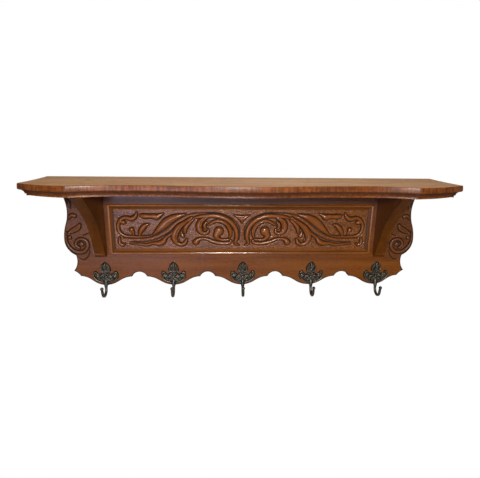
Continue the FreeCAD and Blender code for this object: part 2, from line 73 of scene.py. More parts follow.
def new_mesh(name, corners, faces, finish, sharp_degrees=38):
    """Mesh object from corners in millimetres, with corners that coincide joined."""
    work = bmesh.new()
    made = [work.verts.new((x / 1000, y / 1000, z / 1000)) for x, y, z in corners]
    for face in faces:
        work.faces.new([made[i] for i in face])
    bmesh.ops.remove_doubles(work, verts=work.verts, dist=2e-6)
    bmesh.ops.recalc_face_normals(work, faces=work.faces)
    mesh = bpy.data.meshes.new(name)
    work.to_mesh(mesh)
    work.free()
    mesh.polygons.foreach_set("use_smooth", [True] * len(mesh.polygons))
    mesh.set_sharp_from_angle(angle=math.radians(sharp_degrees))
    mesh.materials.append(finish)
    piece = bpy.data.objects.new(name, mesh)
    bpy.context.scene.collection.objects.link(piece)
    return piece


def background_paper():
    """Matt white paper."""
    finish, tree, output = new_finish("white_background_paper")
    paper = add_node(tree, "ShaderNodeBsdfDiffuse", {"Color": linear("#8c8b8a")})
    white = add_node(tree, "ShaderNodeEmission", {"Color": linear("#ffffff"), "Strength": 1.0})
    path = add_node(tree, "ShaderNodeLightPath")
    mix = add_node(tree, "ShaderNodeMixShader", None,
                   {0: path.outputs["Is Camera Ray"], 1: paper.outputs[0], 2: white.outputs[0]})
    tree.links.new(mix.outputs[0], output.inputs["Surface"])
    return finish


floor_z, wall_y, sweep_turn, sweep_steps, sweep_reach, wall_height = -1300, 1100, 700, 12, 5000, 4000
sweep = [(-sweep_reach, floor_z)]
for i in range(sweep_steps + 1):
    turn = math.pi / 2 * i / sweep_steps
    sweep.append((wall_y - sweep_turn * (1 - math.sin(turn)), floor_z + sweep_turn * (1 - math.cos(turn))))
sweep.append((wall_y, wall_height))
sweep_corners = [(x, y, z) for x in (-sweep_reach, sweep_reach) for y, z in sweep]
sweep_faces = [(i, i + 1, i + 1 + len(sweep), i + len(sweep)) for i in range(len(sweep) - 1)]
new_mesh("background_sweep", sweep_corners, sweep_faces, background_paper())

# Camera fitted to the photograph: a 29 mm lens about a metre from the rack, a little left of
# its middle and a little above it, looking down at it.
camera_at = Vector((-0.0463, -1.0023, 0.1640))
photo_width, focal_length_pixels = 480, 383.3
pitch, yaw, roll = math.radians(15.05), math.radians(2.41), math.radians(0.64)
ahead = Vector((math.sin(yaw) * math.cos(pitch), math.cos(yaw) * math.cos(pitch), -math.sin(pitch)))
level = Vector((math.cos(yaw), -math.sin(yaw), 0))
upright = level.cross(ahead)
right = math.cos(roll) * level + math.sin(roll) * upright
up = math.cos(roll) * upright - math.sin(roll) * level
camera_data = bpy.data.cameras.new("camera")
camera_data.sensor_width = 36.0
camera_data.lens = focal_length_pixels / photo_width * camera_data.sensor_width
camera = bpy.data.objects.new("camera", camera_data)
camera.matrix_world = Matrix.Translation(camera_at) @ Matrix((right, up, -ahead)).transposed().to_4x4()
bpy.context.scene.collection.objects.link(camera)
bpy.context.scene.camera = camera
bpy.context.scene.view_settings.view_transform = "Standard"


def soft_box(name, at, aim, size, watts, colour):
    """Oblong lamp at one point, turned towards another, in metres."""
    data = bpy.data.lights.new(name, "AREA")
    data.shape = "RECTANGLE"
    data.size, data.size_y = size
    data.energy = watts
    data.color = linear(colour)[:3]
    made = bpy.data.objects.new(name, data)
    made.location = at
    made.rotation_euler = (Vector(aim) - Vector(at)).to_track_quat("-Z", "Y").to_euler()
    bpy.context.scene.collection.objects.link(made)
    return made


# One soft box lights the front, one the top and one comes over the shelf from behind. The
# bounce card only fills the shade. The sheen cards show only in the varnish, as a cool gleam.
soft_box("front_soft_box", (-0.03, -1.4, 0.38), (0, 0, -0.05), (0.2, 0.17), 16, "#fff8f0")
bounce = soft_box("bounce_card", (-0.05, -1.0, -0.6), (0, 0, 0), (1.4, 0.4), 3, "#fff4ea")
soft_box("top_soft_box", (0.2, -0.5, 2.2), (0, -0.1, 0), (1.2, 0.9), 17, "#fbfaf8")
soft_box("back_soft_box", (0.15, 0.85, 1.0), (0, 0, -0.05), (1.0, 0.5), 6, "#fbfaf8")
sheen_cards = [soft_box("low_sheen_card", (-0.3, -2.0, -0.38), (-0.1, 0, 0), (1.9, 0.3), 4.5, "#d9dcf4"),
               soft_box("under_sheen_card", (0, 0.2, -0.6), (0, -0.15, 0), (1.2, 0.3), 0.6, "#d4d6ec"),
               soft_box("left_sheen_card", (-0.65, -2.0, -0.33), (-0.1, 0, 0), (0.7, 0.26), 7.0, "#c6caf6")]
for card in sheen_cards:
    card.visible_diffuse = card.visible_camera = False
bounce.visible_glossy = False
world = bpy.data.worlds.new("room")
world.use_nodes = True
tree = world.node_tree
seen = add_node(tree, "ShaderNodeLightPath")
brightness = add_node(tree, "ShaderNodeMapRange", {"To Min": 0.14, "To Max": 1.0},
                      {"Value": seen.outputs["Is Camera Ray"]})
shade = add_node(tree, "ShaderNodeMix", {"data_type": "RGBA", 6: linear("#eef0f6"), 7: linear("#ffffff")},
                 {0: seen.outputs["Is Camera Ray"]})
tree.links.new(shade.outputs[2], tree.nodes["Background"].inputs["Color"])
tree.links.new(brightness.outputs[0], tree.nodes["Background"].inputs["Strength"])
bpy.context.scene.world = world


# Shelf. One wide oak board with a serpentine front edge and a moulding run round its open
# edges: a flat with rounded arrises, a quirk, a shallow cove and a fillet. It is glued on the
# back board and screwed down on the brackets. The oak is stained red-brown and varnished.
shelf_top, shelf_half_width, shelf_depth, shelf_thick = 60.0, 500.0, 193.0, 28.0
shelf_front_shares = [(0.0, 0.974), (0.24, 0.922), (0.36, 0.891), (0.48, 0.881), (0.636, 0.9015),
                      (0.756, 1.0), (1.0, 0.7565)]
shelf_cheek_bulge, shelf_side_hollow = 9.0, 4.0
edge_flat, edge_arris, edge_lean, edge_bevel, edge_quirk, quirk_drop = 11.0, 2.4, 0.8, 3.5, 3.0, 1.0
cove_inset, cove_hollow = 8.0, 1.1
fillet_inset, fillet_height, fillet_lean, fillet_ease = 3.0, 4.5, 0.35, 0.4
bracket_x, shelf_screw_y, shelf_screw_sink, plug_radius, seat_gap = 368.0, -78.0, 9.0, 6.0, 0.05
outline_step = 4.0


def arc_points(a, b, c, step=outline_step):
    """Points along the arc from a through b to c, without c."""
    a, b, c = (np.array(p, float) for p in (a, b, c))
    (bx, by), (cx, cy) = b - a, c - a
    twice_area = 2 * (bx * cy - by * cx)
    centre = a + np.array([cy * (bx * bx + by * by) - by * (cx * cx + cy * cy),
                           bx * (cx * cx + cy * cy) - cx * (bx * bx + by * by)]) / twice_area
    start, to_b, to_c = (math.atan2(p[1] - centre[1], p[0] - centre[0]) for p in (a, b, c))
    to_b, to_c = (to_b - start) % math.tau, (to_c - start) % math.tau
    if to_b > to_c:
        to_c -= math.tau
    radius = np.linalg.norm(a - centre)
    count = max(2, math.ceil(abs(to_c) * radius / step))
    turns = [start + to_c * i / count for i in range(count)]
    return [centre + radius * np.array([math.cos(turn), math.sin(turn)]) for turn in turns]


def inset_line(points, amount, closed=True):
    """Outline moved to its left by an amount, with mitred corners."""
    p = np.array(points, float)
    ahead_of, behind = np.roll(p, -1, 0) - p, p - np.roll(p, 1, 0)
    if not closed:
        ahead_of[-1], behind[0] = behind[-1], ahead_of[0]
    normals = [np.stack([-run[:, 1], run[:, 0]], 1) / np.linalg.norm(run, axis=1)[:, None]
               for run in (ahead_of, behind)]
    reach = np.maximum(1 + (normals[0] * normals[1]).sum(1), 0.35)
    return p + (normals[0] + normals[1]) / reach[:, None] * amount


def loft(rings, start_cap=True, end_cap=True):
    """Corners and faces through rings of like corners."""
    n = len(rings[0])
    corners = [tuple(p) for ring in rings for p in ring]
    faces = [(k * n + i, k * n + (i + 1) % n, (k + 1) * n + (i + 1) % n, (k + 1) * n + i)
             for k in range(len(rings) - 1) for i in range(n)]
    if start_cap:
        faces.append(tuple(range(n)))
    if end_cap:
        faces.append(tuple(range((len(rings) - 1) * n, len(rings) * n)))
    return corners, faces


def join(*parts):
    """Several sets of corners and faces as one."""
    corners, faces = [], []
    for more_corners, more_faces in parts:
        start = len(corners)
        corners += [tuple(c) for c in more_corners]
        faces += [tuple(i + start for i in face) for face in more_faces]
    return corners, faces


def is_inside(x, z, outline):
    """True for places inside an outline."""
    inside = np.zeros(x.shape, bool)
    p = np.array(outline, float)
    for (ax, az), (bx, bz) in zip(p, np.roll(p, -1, 0)):
        if az != bz:
            inside ^= ((az > z) != (bz > z)) & (x < (bx - ax) * (z - az) / (bz - az) + ax)
    return inside


def relief_face(outline, holes, face_y, places=(), heights=()):
    """Flat face at face_y with holes, raised at given places by given heights."""
    points, loops = [], []
    for loop in [outline] + holes:
        loops.append(list(range(len(points), len(points) + len(loop))))
        points += [(float(x), float(z)) for x, z in loop]
    edge_count = len(points)
    points += [(float(x), float(z)) for x, z in places]
    rise = np.concatenate([np.zeros(edge_count), heights])
    made, _, faces, source, _, _ = delaunay_2d_cdt([Vector(p) for p in points], [], loops, 1, 1e-5, True)
    corners = [(p.x, face_y - (rise[ids[0]] if ids else 0.0), p.y) for p, ids in zip(made, source)]
    middles = np.array([[(made[a].x + made[b].x + made[c].x) / 3, (made[a].y + made[b].y + made[c].y) / 3]
                        for a, b, c in faces])
    keep = is_inside(middles[:, 0], middles[:, 1], outline)
    for hole in holes:
        keep &= ~is_inside(middles[:, 0], middles[:, 1], hole)
    return corners, [tuple(f) for f, kept in zip(faces, keep) if kept]


def circle(x, z, radius, sides=20):
    """Points round a circle."""
    return [(x + radius * math.cos(math.tau * i / sides), z + radius * math.sin(math.tau * i / sides))
            for i in range(sides)]


def varnished_oak(name, grain_axis, dark, light, gloss, carved=False, lit_top_colours=None, roughness=0.32):
    """Flat-sawn oak, stained and varnished by hand; gloss is the varnish's specular level.

    It gives soft bands of early and late wood, short dark pores along the grain and a worn
    satin sheen. grain_axis is 0, 1 or 2 for X, Y or Z. On carved work the recesses and undersides
    are painted dark, as painted shade, and the crests lighter, partly as rubbed wear and partly as
    painted highlight; punch marks roughen the matted ground. Given two upper-side colours, the
    upper side is painted in them, lighter, as painted light from above, and is dull, and the sawn
    edge has flecks.
    """
    finish, tree, output = new_finish(name)
    place = add_node(tree, "ShaderNodeTexCoord")

    def along_grain(length_to_width):
        stretch = [1.0, 1.0, 1.0]
        stretch[grain_axis] = 1 / length_to_width
        return add_node(tree, "ShaderNodeMapping", {"Scale": stretch}, {"Vector": place.outputs["Object"]})

    band_width, line_width, pore_width, stain_patch = 0.020, 0.0035, 0.0011, 0.09
    bands = add_node(tree, "ShaderNodeTexNoise", {"Scale": 1 / band_width, "Detail": 3.0, "Distortion": 0.6},
                     {"Vector": along_grain(14).outputs[0]})
    lines = add_node(tree, "ShaderNodeTexNoise", {"Scale": 1 / line_width, "Detail": 3.0, "Roughness": 0.6},
                     {"Vector": along_grain(22).outputs[0]})
    # Oak pores are about 0.3 mm wide. They are drawn 1.1 mm wide so that they show.
    pores = add_node(tree, "ShaderNodeTexNoise", {"Scale": 1 / pore_width, "Detail": 1.0},
                     {"Vector": along_grain(12).outputs[0]})
    patches = add_node(tree, "ShaderNodeTexNoise", {"Scale": 1 / stain_patch, "Detail": 2.0},
                       {"Vector": place.outputs["Object"]})
    figure = add_node(tree, "ShaderNodeMath", {"operation": "MULTIPLY_ADD", 1: 0.45},
                      {0: lines.outputs[0], 2: bands.outputs[0]})
    spread = add_node(tree, "ShaderNodeMapRange", {"From Min": 0.5, "From Max": 0.95},
                      {"Value": figure.outputs[0]})
    wood = add_node(tree, "ShaderNodeMix", {"data_type": "RGBA", 6: linear(dark), 7: linear(light)},
                    {0: spread.outputs[0]})
    if lit_top_colours:
        # Painted light: the upper side is painted lighter and paler, as light from above would make it.
        upper = add_node(tree, "ShaderNodeMix",
                         {"data_type": "RGBA", 6: linear(lit_top_colours[0]), 7: linear(lit_top_colours[1])},
                         {0: spread.outputs[0]})
        facing = add_node(tree, "ShaderNodeSeparateXYZ", None,
                          {0: add_node(tree, "ShaderNodeNewGeometry").outputs["Normal"]})
        top_side = add_node(tree, "ShaderNodeMapRange", {"From Min": 0.75, "From Max": 0.98},
                            {"Value": facing.outputs[2]})
        wood = add_node(tree, "ShaderNodeMix", {"data_type": "RGBA"},
                        {0: top_side.outputs[0], 6: wood.outputs[2], 7: upper.outputs[2]})
        # Where the saw ran across the grain, the rays and pores show on the edge as upright flecks.
        fleck_width = 0.005
        upright = add_node(tree, "ShaderNodeMapping", {"Scale": (1, 1, 0.2), "Rotation": (0, 0.3, 0)},
                           {"Vector": place.outputs["Object"]})
        flecks = add_node(tree, "ShaderNodeTexNoise", {"Scale": 1 / fleck_width, "Detail": 2.0},
                          {"Vector": upright.outputs[0]})
        fleck_shade = add_node(tree, "ShaderNodeMapRange",
                               {"From Min": 0.38, "From Max": 0.6, "To Min": 0.62, "To Max": 1.22},
                               {"Value": flecks.outputs[0]})
        sawn = add_node(tree, "ShaderNodeMapRange", {"From Min": -0.5, "From Max": -0.9},
                        {"Value": facing.outputs[1]})
        wood = add_node(tree, "ShaderNodeMix", {"data_type": "RGBA", "blend_type": "MULTIPLY"},
                        {0: sawn.outputs[0], 6: wood.outputs[2], 7: fleck_shade.outputs[0]})
    pore_shade = add_node(tree, "ShaderNodeMapRange",
                          {"From Min": 0.36, "From Max": 0.46, "To Min": 0.66, "To Max": 1.0},
                          {"Value": pores.outputs[0]})
    patch_shade = add_node(tree, "ShaderNodeMapRange",
                           {"From Min": 0.3, "From Max": 0.7, "To Min": 0.93, "To Max": 1.05},
                           {"Value": patches.outputs[0]})
    shade = add_node(tree, "ShaderNodeMath", {"operation": "MULTIPLY"},
                     {0: pore_shade.outputs[0], 1: patch_shade.outputs[0]})
    colour = add_node(tree, "ShaderNodeMix", {"data_type": "RGBA", "blend_type": "MULTIPLY", 0: 1.0},
                      {6: wood.outputs[2], 7: shade.outputs[0]})
    rough = add_node(tree, "ShaderNodeMapRange",
                     {"From Min": 0.3, "From Max": 0.7,
                      "To Min": roughness * 1.15, "To Max": roughness * 0.85},
                     {"Value": patches.outputs[0]})
    if lit_top_colours:
        # Things set down on the upper side have rubbed its varnish dull.
        rough = add_node(tree, "ShaderNodeMath", {"operation": "MULTIPLY_ADD", 1: 0.4},
                         {0: top_side.outputs[0], 2: rough.outputs[0]})
    if carved:
        # Painted shade and highlight: recess paints hollows and undersides dark; crest paints high places
        # lighter, partly as rubbed wear and partly as painted highlight.
        recess = add_node(tree, "ShaderNodeAttribute", {"attribute_name": "recess"})
        crest = add_node(tree, "ShaderNodeAttribute", {"attribute_name": "crest"})
        colour = add_node(tree, "ShaderNodeMix", {"data_type": "RGBA", 7: linear("#180b02")},
                          {0: recess.outputs["Fac"], 6: colour.outputs[2]})
        colour = add_node(tree, "ShaderNodeMix", {"data_type": "RGBA", 7: linear("#8a4a10")},
                          {0: crest.outputs["Fac"], 6: colour.outputs[2]})
        rough = add_node(tree, "ShaderNodeMath", {"operation": "MULTIPLY_ADD", 1: 0.6},
                         {0: recess.outputs["Fac"], 2: rough.outputs[0]})
    relief = add_node(tree, "ShaderNodeBump", {"Strength": 0.35, "Distance": 0.0004},
                      {"Height": pores.outputs[0]})
    if carved:
        punch_mark = 0.0032
        marks = add_node(tree, "ShaderNodeTexNoise", {"Scale": 1 / punch_mark, "Detail": 1.0},
                         {"Vector": place.outputs["Object"]})
        matted = add_node(tree, "ShaderNodeAttribute", {"attribute_name": "matted"})
        mark_shade = add_node(tree, "ShaderNodeMapRange",
                              {"From Min": 0.4, "From Max": 0.6, "To Min": 0.62, "To Max": 1.25},
                              {"Value": marks.outputs[0]})
        colour = add_node(tree, "ShaderNodeMix", {"data_type": "RGBA", "blend_type": "MULTIPLY"},
                          {0: matted.outputs["Fac"], 6: colour.outputs[2], 7: mark_shade.outputs[0]})
        depth = add_node(tree, "ShaderNodeMath", {"operation": "MULTIPLY"},
                         {0: marks.outputs[0], 1: matted.outputs["Fac"]})
        relief = add_node(tree, "ShaderNodeBump", {"Strength": 0.6, "Distance": 0.0016},
                          {"Height": depth.outputs[0], "Normal": relief.outputs[0]})
    varnish = add_node(tree, "ShaderNodeBsdfPrincipled", {"IOR": 1.5, "Specular IOR Level": gloss},
                       {"Base Color": colour.outputs[2], "Roughness": rough.outputs[0],
                        "Normal": relief.outputs[0]})
    tree.links.new(varnish.outputs[0], output.inputs["Surface"])
    return finish


def mark(piece, name, values):
    """Gives each corner of a piece a value that its finish reads."""
    layer = piece.data.attributes.new(name, "FLOAT", "POINT")
    layer.data.foreach_set("value", values.astype(np.float32))


front = [(shelf_half_width * x, -shelf_depth * depth) for x, depth in shelf_front_shares]
middle, bow, flank, cusp, sweep_in, shoulder, corner = front
cheek = ((shoulder[0] + corner[0]) / 2, (shoulder[1] + corner[1]) / 2 - shelf_cheek_bulge)
side_middle, wall_end = (shelf_half_width - shelf_side_hollow, corner[1] / 2), (shelf_half_width, 0.0)
shelf_right = arc_points(bow, flank, cusp) + arc_points(cusp, sweep_in, shoulder)
shelf_right += arc_points(shoulder, cheek, corner) + arc_points(corner, side_middle, wall_end) + [wall_end]
shelf_line = [(-x, y) for x, y in reversed(shelf_right[1:])] + arc_points((-bow[0], bow[1]), middle, bow)
shelf_line += shelf_right

arris_steps, cove_steps = 5, 6
quarter_turns = [math.pi / 2 * i / arris_steps for i in range(arris_steps + 1)]
edge_profile = [(edge_lean + edge_arris * (1 - math.sin(turn)), edge_arris * (1 - math.cos(turn)))
                for turn in quarter_turns]
edge_profile += [(edge_bevel * (1 - math.cos(turn)), edge_flat + edge_bevel * math.sin(turn))
                 for turn in quarter_turns]
cove_start, cove_top = edge_bevel + edge_quirk, edge_flat + edge_bevel + quirk_drop
cove_drop = shelf_thick - fillet_height - cove_top
edge_profile.append((cove_start, cove_top - quirk_drop))
for i in range(cove_steps + 1):
    share = i / cove_steps
    hollow = cove_hollow * math.sin(math.pi * share)
    edge_profile.append((cove_start + cove_inset * share + hollow, cove_top + cove_drop * share - hollow))
edge_reach = cove_start + cove_inset + fillet_inset
edge_profile += [(edge_reach + fillet_lean, shelf_thick - fillet_height),
                 (edge_reach, shelf_thick - fillet_ease), (edge_reach + fillet_ease, shelf_thick)]
shelf_rings = []
for inset, drop in edge_profile:
    line = inset_line(shelf_line, inset, closed=False)
    # Both ends stay on the wall face.
    line[0], line[-1] = (-shelf_half_width + inset, 0), (shelf_half_width - inset, 0)
    shelf_rings.append([(x, y, shelf_top - drop) for x, y in line])

# The upper side's two colours are painted lighter, as painted light from above.
oak_shelf = varnished_oak("varnished_oak_shelf", 0, "#6f3a15", "#8f5122", 0.4, carved=True,
                          lit_top_colours=("#ad7b50", "#c1976d"))
top_line = [(x, y) for x, y, z in shelf_rings[0]]
plug_holes = [circle(side * bracket_x, shelf_screw_y, plug_radius + seat_gap) for side in (-1, 1)]
top_corners, top_faces = relief_face(top_line, plug_holes, 0.0)
top_corners = [(x, y, shelf_top) for x, _, y in top_corners]
shelf_parts = [loft(shelf_rings, start_cap=False), (top_corners, top_faces)]
for hole in plug_holes:
    bore = [[(x, y, shelf_top - drop) for x, y in hole] for drop in (0, shelf_screw_sink)]
    shelf_parts.append(loft(bore, start_cap=False))
shelf = new_mesh("oak_shelf", *join(*shelf_parts), oak_shelf)
# Painted shade: the quirk and the cove, which the flat above shades, are painted darker.
drops = np.array([shelf_top - vertex.co.z * 1000 for vertex in shelf.data.vertices])
cove_shade_mask = (drops > cove_top - quirk_drop - 1) & (drops < shelf_thick - fillet_height)
mark(shelf, "recess", 0.4 * cove_shade_mask)
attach(shelf, "root")
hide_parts("shelf_board")


# Back board. One oak board, sawn to scallops along its foot, with volutes cut at both ends,
# a housing for the carved panel in its front and seats for two hanging plates in its back.
# Its front arrises are rounded over.
board_top, board_thick, board_height, board_half_width, board_arris = 32.0, 22.0, 261.3, 464.0, 3.0
board_face, board_foot = -board_thick, board_top - board_height
end_shares = [(1.005, 0.0), (0.969, 0.214), (0.981, 0.344), (0.995, 0.429), (1.0, 0.511), (0.986, 0.6085),
              (0.9435, 0.6774), (0.9392, 0.727), (0.9634, 0.842), (0.9422, 0.868), (0.9267, 0.9013)]
flank_shares = [(0.0, 0.0), (0.225, 0.117), (0.42, 0.392), (0.585, 0.6875), (0.79, 0.925), (1.0, 1.0)]
end_lobe_inset, lobe_drop, arch_half, arch_rise = 97.6, 24.0, 20.0, 13.5
last_lobe_x = board_half_width - end_lobe_inset
lobe_pitch = last_lobe_x / 2
frame_half_width, frame_top, frame_foot, panel_back = 347.5, -6.8, -142.8, -12.0


def lobe_flank(start, lobe_x):
    """One side of a lobe, from a cusp down to the lobe's lowest point."""
    reach, drop = lobe_x - start[0], board_foot - start[1]
    p = [(start[0] + reach * x, start[1] + drop * z) for x, z in flank_shares]
    return arc_points(p[0], p[1], p[2]) + [p[2]] + arc_points(p[3], p[4], p[5])


ends = [(board_half_width * x, board_top - board_height * z) for x, z in end_shares]
board_end = []
for i in range(0, len(ends) - 1, 2):
    board_end += arc_points(ends[i], ends[i + 1], ends[i + 2])
arch_foot = board_foot + lobe_drop
lower = [(0.0, board_foot)]
for x in (lobe_pitch / 2, 1.5 * lobe_pitch):
    feet = [(x - arch_half, arch_foot), (x + arch_half, arch_foot)]
    lower += list(reversed(lobe_flank(feet[0], x - lobe_pitch / 2)[1:]))
    lower += arc_points(feet[0], (x, arch_foot + arch_rise), feet[1])
    lower += lobe_flank(feet[1], x + lobe_pitch / 2) + [(x + lobe_pitch / 2, board_foot)]
lower += list(reversed(lobe_flank(ends[-1], last_lobe_x)[1:]))
board_right = [tuple(p) for p in lower] + [ends[-1]] + [tuple(p) for p in reversed(board_end)]
board_line = [(-x, z) for x, z in reversed(board_right[1:])] + board_right


def smooth_stroke(points, step=0.8, least=0.3):
    """Places and half widths along a smooth curve through given (x, z, half width)."""
    p = np.array(points, float)
    if len(p) == 1:
        return np.array([p[0], p[0]])
    p = np.vstack([2 * p[0] - p[1], p, 2 * p[-1] - p[-2]])
    made = []
    for a, b, c, d in zip(p, p[1:], p[2:], p[3:]):
        count = max(2, math.ceil(np.linalg.norm(c[:2] - b[:2]) / step))
        t = (np.arange(count) / count)[:, None]
        made.append(0.5 * (2 * b + (c - a) * t + (2 * a - 5 * b + 4 * c - d) * t ** 2
                           + (3 * b - a - 3 * c + d) * t ** 3))
    line = np.vstack(made + [p[-2:-1]])
    line[:, 2] = np.maximum(line[:, 2], least)
    return line


def nearest_on_stroke(x, z, points):
    """Share of the half width from the stroke's middle, distance outside it, and the half width."""
    share = np.full(x.shape, 99.0)
    outside = np.full(x.shape, 99.0)
    width = np.zeros(x.shape)
    line = smooth_stroke(points)
    margin = line[:, 2].max() + 4
    near = np.flatnonzero((x > line[:, 0].min() - margin) & (x < line[:, 0].max() + margin)
                          & (z > line[:, 1].min() - margin) & (z < line[:, 1].max() + margin))
    for a, b in zip(line, line[1:]):
        run = b[:2] - a[:2]
        length = max(run @ run, 1e-9)
        close = near[(abs(x[near] - a[0]) < margin + 1) & (abs(z[near] - a[1]) < margin + 1)]
        t = np.clip(((x[close] - a[0]) * run[0] + (z[close] - a[1]) * run[1]) / length, 0, 1)
        far = np.hypot(x[close] - a[0] - run[0] * t, z[close] - a[1] - run[1] * t)
        half = a[2] + (b[2] - a[2]) * t
        better = far / half < share[close]
        share[close] = np.where(better, far / half, share[close])
        width[close] = np.where(better, half, width[close])
        outside[close] = np.minimum(outside[close], far - half)
    return share, outside, width


def carve(x, z, raised, grooves, rise, stop_cut):
    """Height of carved work over its ground: rounded strokes with a stop cut round each, then grooves."""
    cut_width, groove_flare = 1.7, 1.6
    height, ground = np.zeros(x.shape), np.zeros(x.shape)
    for points in raised:
        share, outside, width = nearest_on_stroke(x, z, points)
        crown = np.minimum(rise, 0.6 + width * 0.75)
        top = crown * np.clip(1 - np.minimum(share, 1) ** 2.2, 0, 1) ** 0.6
        height = np.maximum(height, top)
        cut = np.exp(-(np.maximum(outside, 0) / cut_width) ** 2) * (outside < 6)
        ground = np.minimum(ground, -stop_cut * cut)
    height = np.where(height > 0.05, height, ground)
    for points in grooves:
        share, outside, width = nearest_on_stroke(x, z, points)
        height -= stop_cut * np.clip(1 - share / groove_flare, 0, 1)
    return height


# A stroke is a list of (x, z, half width) in millimetres. Only the right end's are listed.
volute = [
    [(457, -82, 2.6), (460, -98, 3.7), (456, -116, 4.4), (447, -129, 4.4), (432, -136, 4.2),
     (416, -134, 4.2), (405, -121, 4.2), (407, -106, 3.7), (419, -100, 3.1), (431, -105, 3.1),
     (435, -117, 3.1), (427, -124, 2.9)],
    [(449, -83, 2.6), (439, -78, 5.2), (426, -71, 5.7), (420, -62, 3.1)],
    [(448, -47, 2.1), (444, -41, 3.1), (437, -37, 3.7), (431, -39, 4.2)],
    [(420, -114, 5.7)],
    [(449, -96, 4.4)],
    [(448, 6, 1.6), (442, -4, 2.4), (441, -17, 1.6)],
]
volute_grooves = [
    [(431, -153, 1.2), (418, -157, 1.8), (406, -148, 1.8), (400, -131, 1.2)],
    [(395, -82, 1.0), (405, -87, 1.6), (414, -91, 1.4)],
    [(447, -82, 0.9), (438, -78, 1.6), (428, -71, 1.6), (422, -65, 0.8)],
    [(454, -92, 0.8), (454, -106, 1.2), (449, -118, 1.2), (440, -127, 0.8)],
    [(460, -92, 0.8), (460, -108, 1.2), (454, -123, 1.2), (444, -133, 0.8)],
]
volute_rise, volute_cut, volute_pitch = 2.5, 1.5, 1.1
carved_end, carved_foot = 386.0, -162.0


def edge_distance(x, z, outline):
    """Least distance from each place to an outline."""
    least = np.full(x.shape, 1e9)
    p = np.array(outline, float)
    for a, b in zip(p, np.roll(p, -1, 0)):
        run = b - a
        t = np.clip(((x - a[0]) * run[0] + (z - a[1]) * run[1]) / max(run @ run, 1e-9), 0, 1)
        least = np.minimum(least, np.hypot(x - a[0] - run[0] * t, z - a[1] - run[1] * t))
    return least


def pocket(outline, face_y, floor_y):
    """Walls and floor of a sunk pocket."""
    return loft([[(x, y, z) for x, z in outline] for y in (face_y, floor_y)], start_cap=False)


def oblong(x0, x1, z0, z1):
    """Corners of an upright oblong."""
    return [(x0, z0), (x1, z0), (x1, z1), (x0, z1)]


hanger_half_pitch, hanger_width, hanger_height, hanger_thick = 300.0, 18.0, 46.0, 2.5
hanger_pocket_half, hanger_pocket_depth, hanger_slot_rise = 6.0, 7.0, 10.0
bracket_screw_z, wood_screw_head, wood_screw_head_thick = (-2.0, -90.0), 4.2, 2.5

rim = []
for turn in quarter_turns:
    line = inset_line(board_line, board_arris * (1 - math.cos(turn)))
    rim.append([(x, board_face + board_arris * (1 - math.sin(turn)), z) for x, z in line])
rim.append([(x, board_face, z) for x, z in inset_line(board_line, board_arris + 1.2)])
front_line = [(x, z) for x, y, z in rim[-1]]
back_ring = [(x, 0.0, z) for x, z in board_line]
housing = oblong(-frame_half_width, frame_half_width, frame_foot, frame_top)

# The right end is carved on a grid of places inside the board's edge, and the left end from it.
grid_x, grid_z = (g.ravel() for g in np.meshgrid(np.arange(carved_end, board_half_width + 4, volute_pitch),
                                                 np.arange(carved_foot, board_top - 2, volute_pitch)))
end_line = [(x, z) for x, z in front_line if x > carved_end - 86]
to_edge = edge_distance(grid_x, grid_z, end_line)
keep = is_inside(grid_x, grid_z, front_line) & (to_edge > 0.5 * volute_pitch)
grid_x, grid_z, to_edge = grid_x[keep], grid_z[keep], to_edge[keep]
ease = np.clip(to_edge / 2.5, 0, 1) * np.clip((grid_x - carved_end - 1) / 4, 0, 1)
volute_height = carve(grid_x, grid_z, volute, volute_grooves, volute_rise, volute_cut) * ease
places = np.concatenate([np.stack([grid_x, grid_z], 1), np.stack([-grid_x, grid_z], 1)])
board_front = relief_face(front_line, [housing], board_face, places, np.tile(volute_height, 2))

hanger_xs = (-hanger_half_pitch, hanger_half_pitch)
seat_half_width, seat_half_height = hanger_width / 2 + seat_gap, hanger_height / 2 + seat_gap
hanger_seats = [oblong(x - seat_half_width, x + seat_half_width, -seat_half_height, seat_half_height)
                for x in hanger_xs]
hanger_pockets = [oblong(x - hanger_pocket_half, x + hanger_pocket_half, -hanger_pocket_half,
                         hanger_slot_rise + hanger_pocket_half / 2) for x in hanger_xs]
head_seats = [circle(side * bracket_x, z, wood_screw_head + seat_gap)
              for side in (-1, 1) for z in bracket_screw_z]
board_parts = [loft([back_ring] + rim, start_cap=False, end_cap=False), board_front,
               pocket(housing, board_face, panel_back),
               relief_face(board_line, hanger_seats + head_seats, 0.0)]
for seat, hollow in zip(hanger_seats, hanger_pockets):
    board_parts.append(loft([[(x, y, z) for x, z in seat] for y in (0.0, -hanger_thick)], False, False))
    board_parts.append(relief_face(seat, [hollow], -hanger_thick))
    board_parts.append(pocket(hollow, -hanger_thick, -hanger_thick - hanger_pocket_depth))
board_parts += [pocket(seat, 0.0, -wood_screw_head_thick) for seat in head_seats]
oak_board = varnished_oak("varnished_oak_back_board", 0, "#683812", "#844d1b", 0.45, carved=True,
                          roughness=0.25)
board = new_mesh("oak_back_board", *join(*board_parts), oak_board)


def corners_of(piece):
    """Places, in mm, and directions of a piece's corners."""
    vertices = piece.data.vertices
    place, normal = np.empty(len(vertices) * 3), np.empty(len(vertices) * 3)
    vertices.foreach_get("co", place)
    vertices.foreach_get("normal", normal)
    return place.reshape(-1, 3) * 1000, normal.reshape(-1, 3)


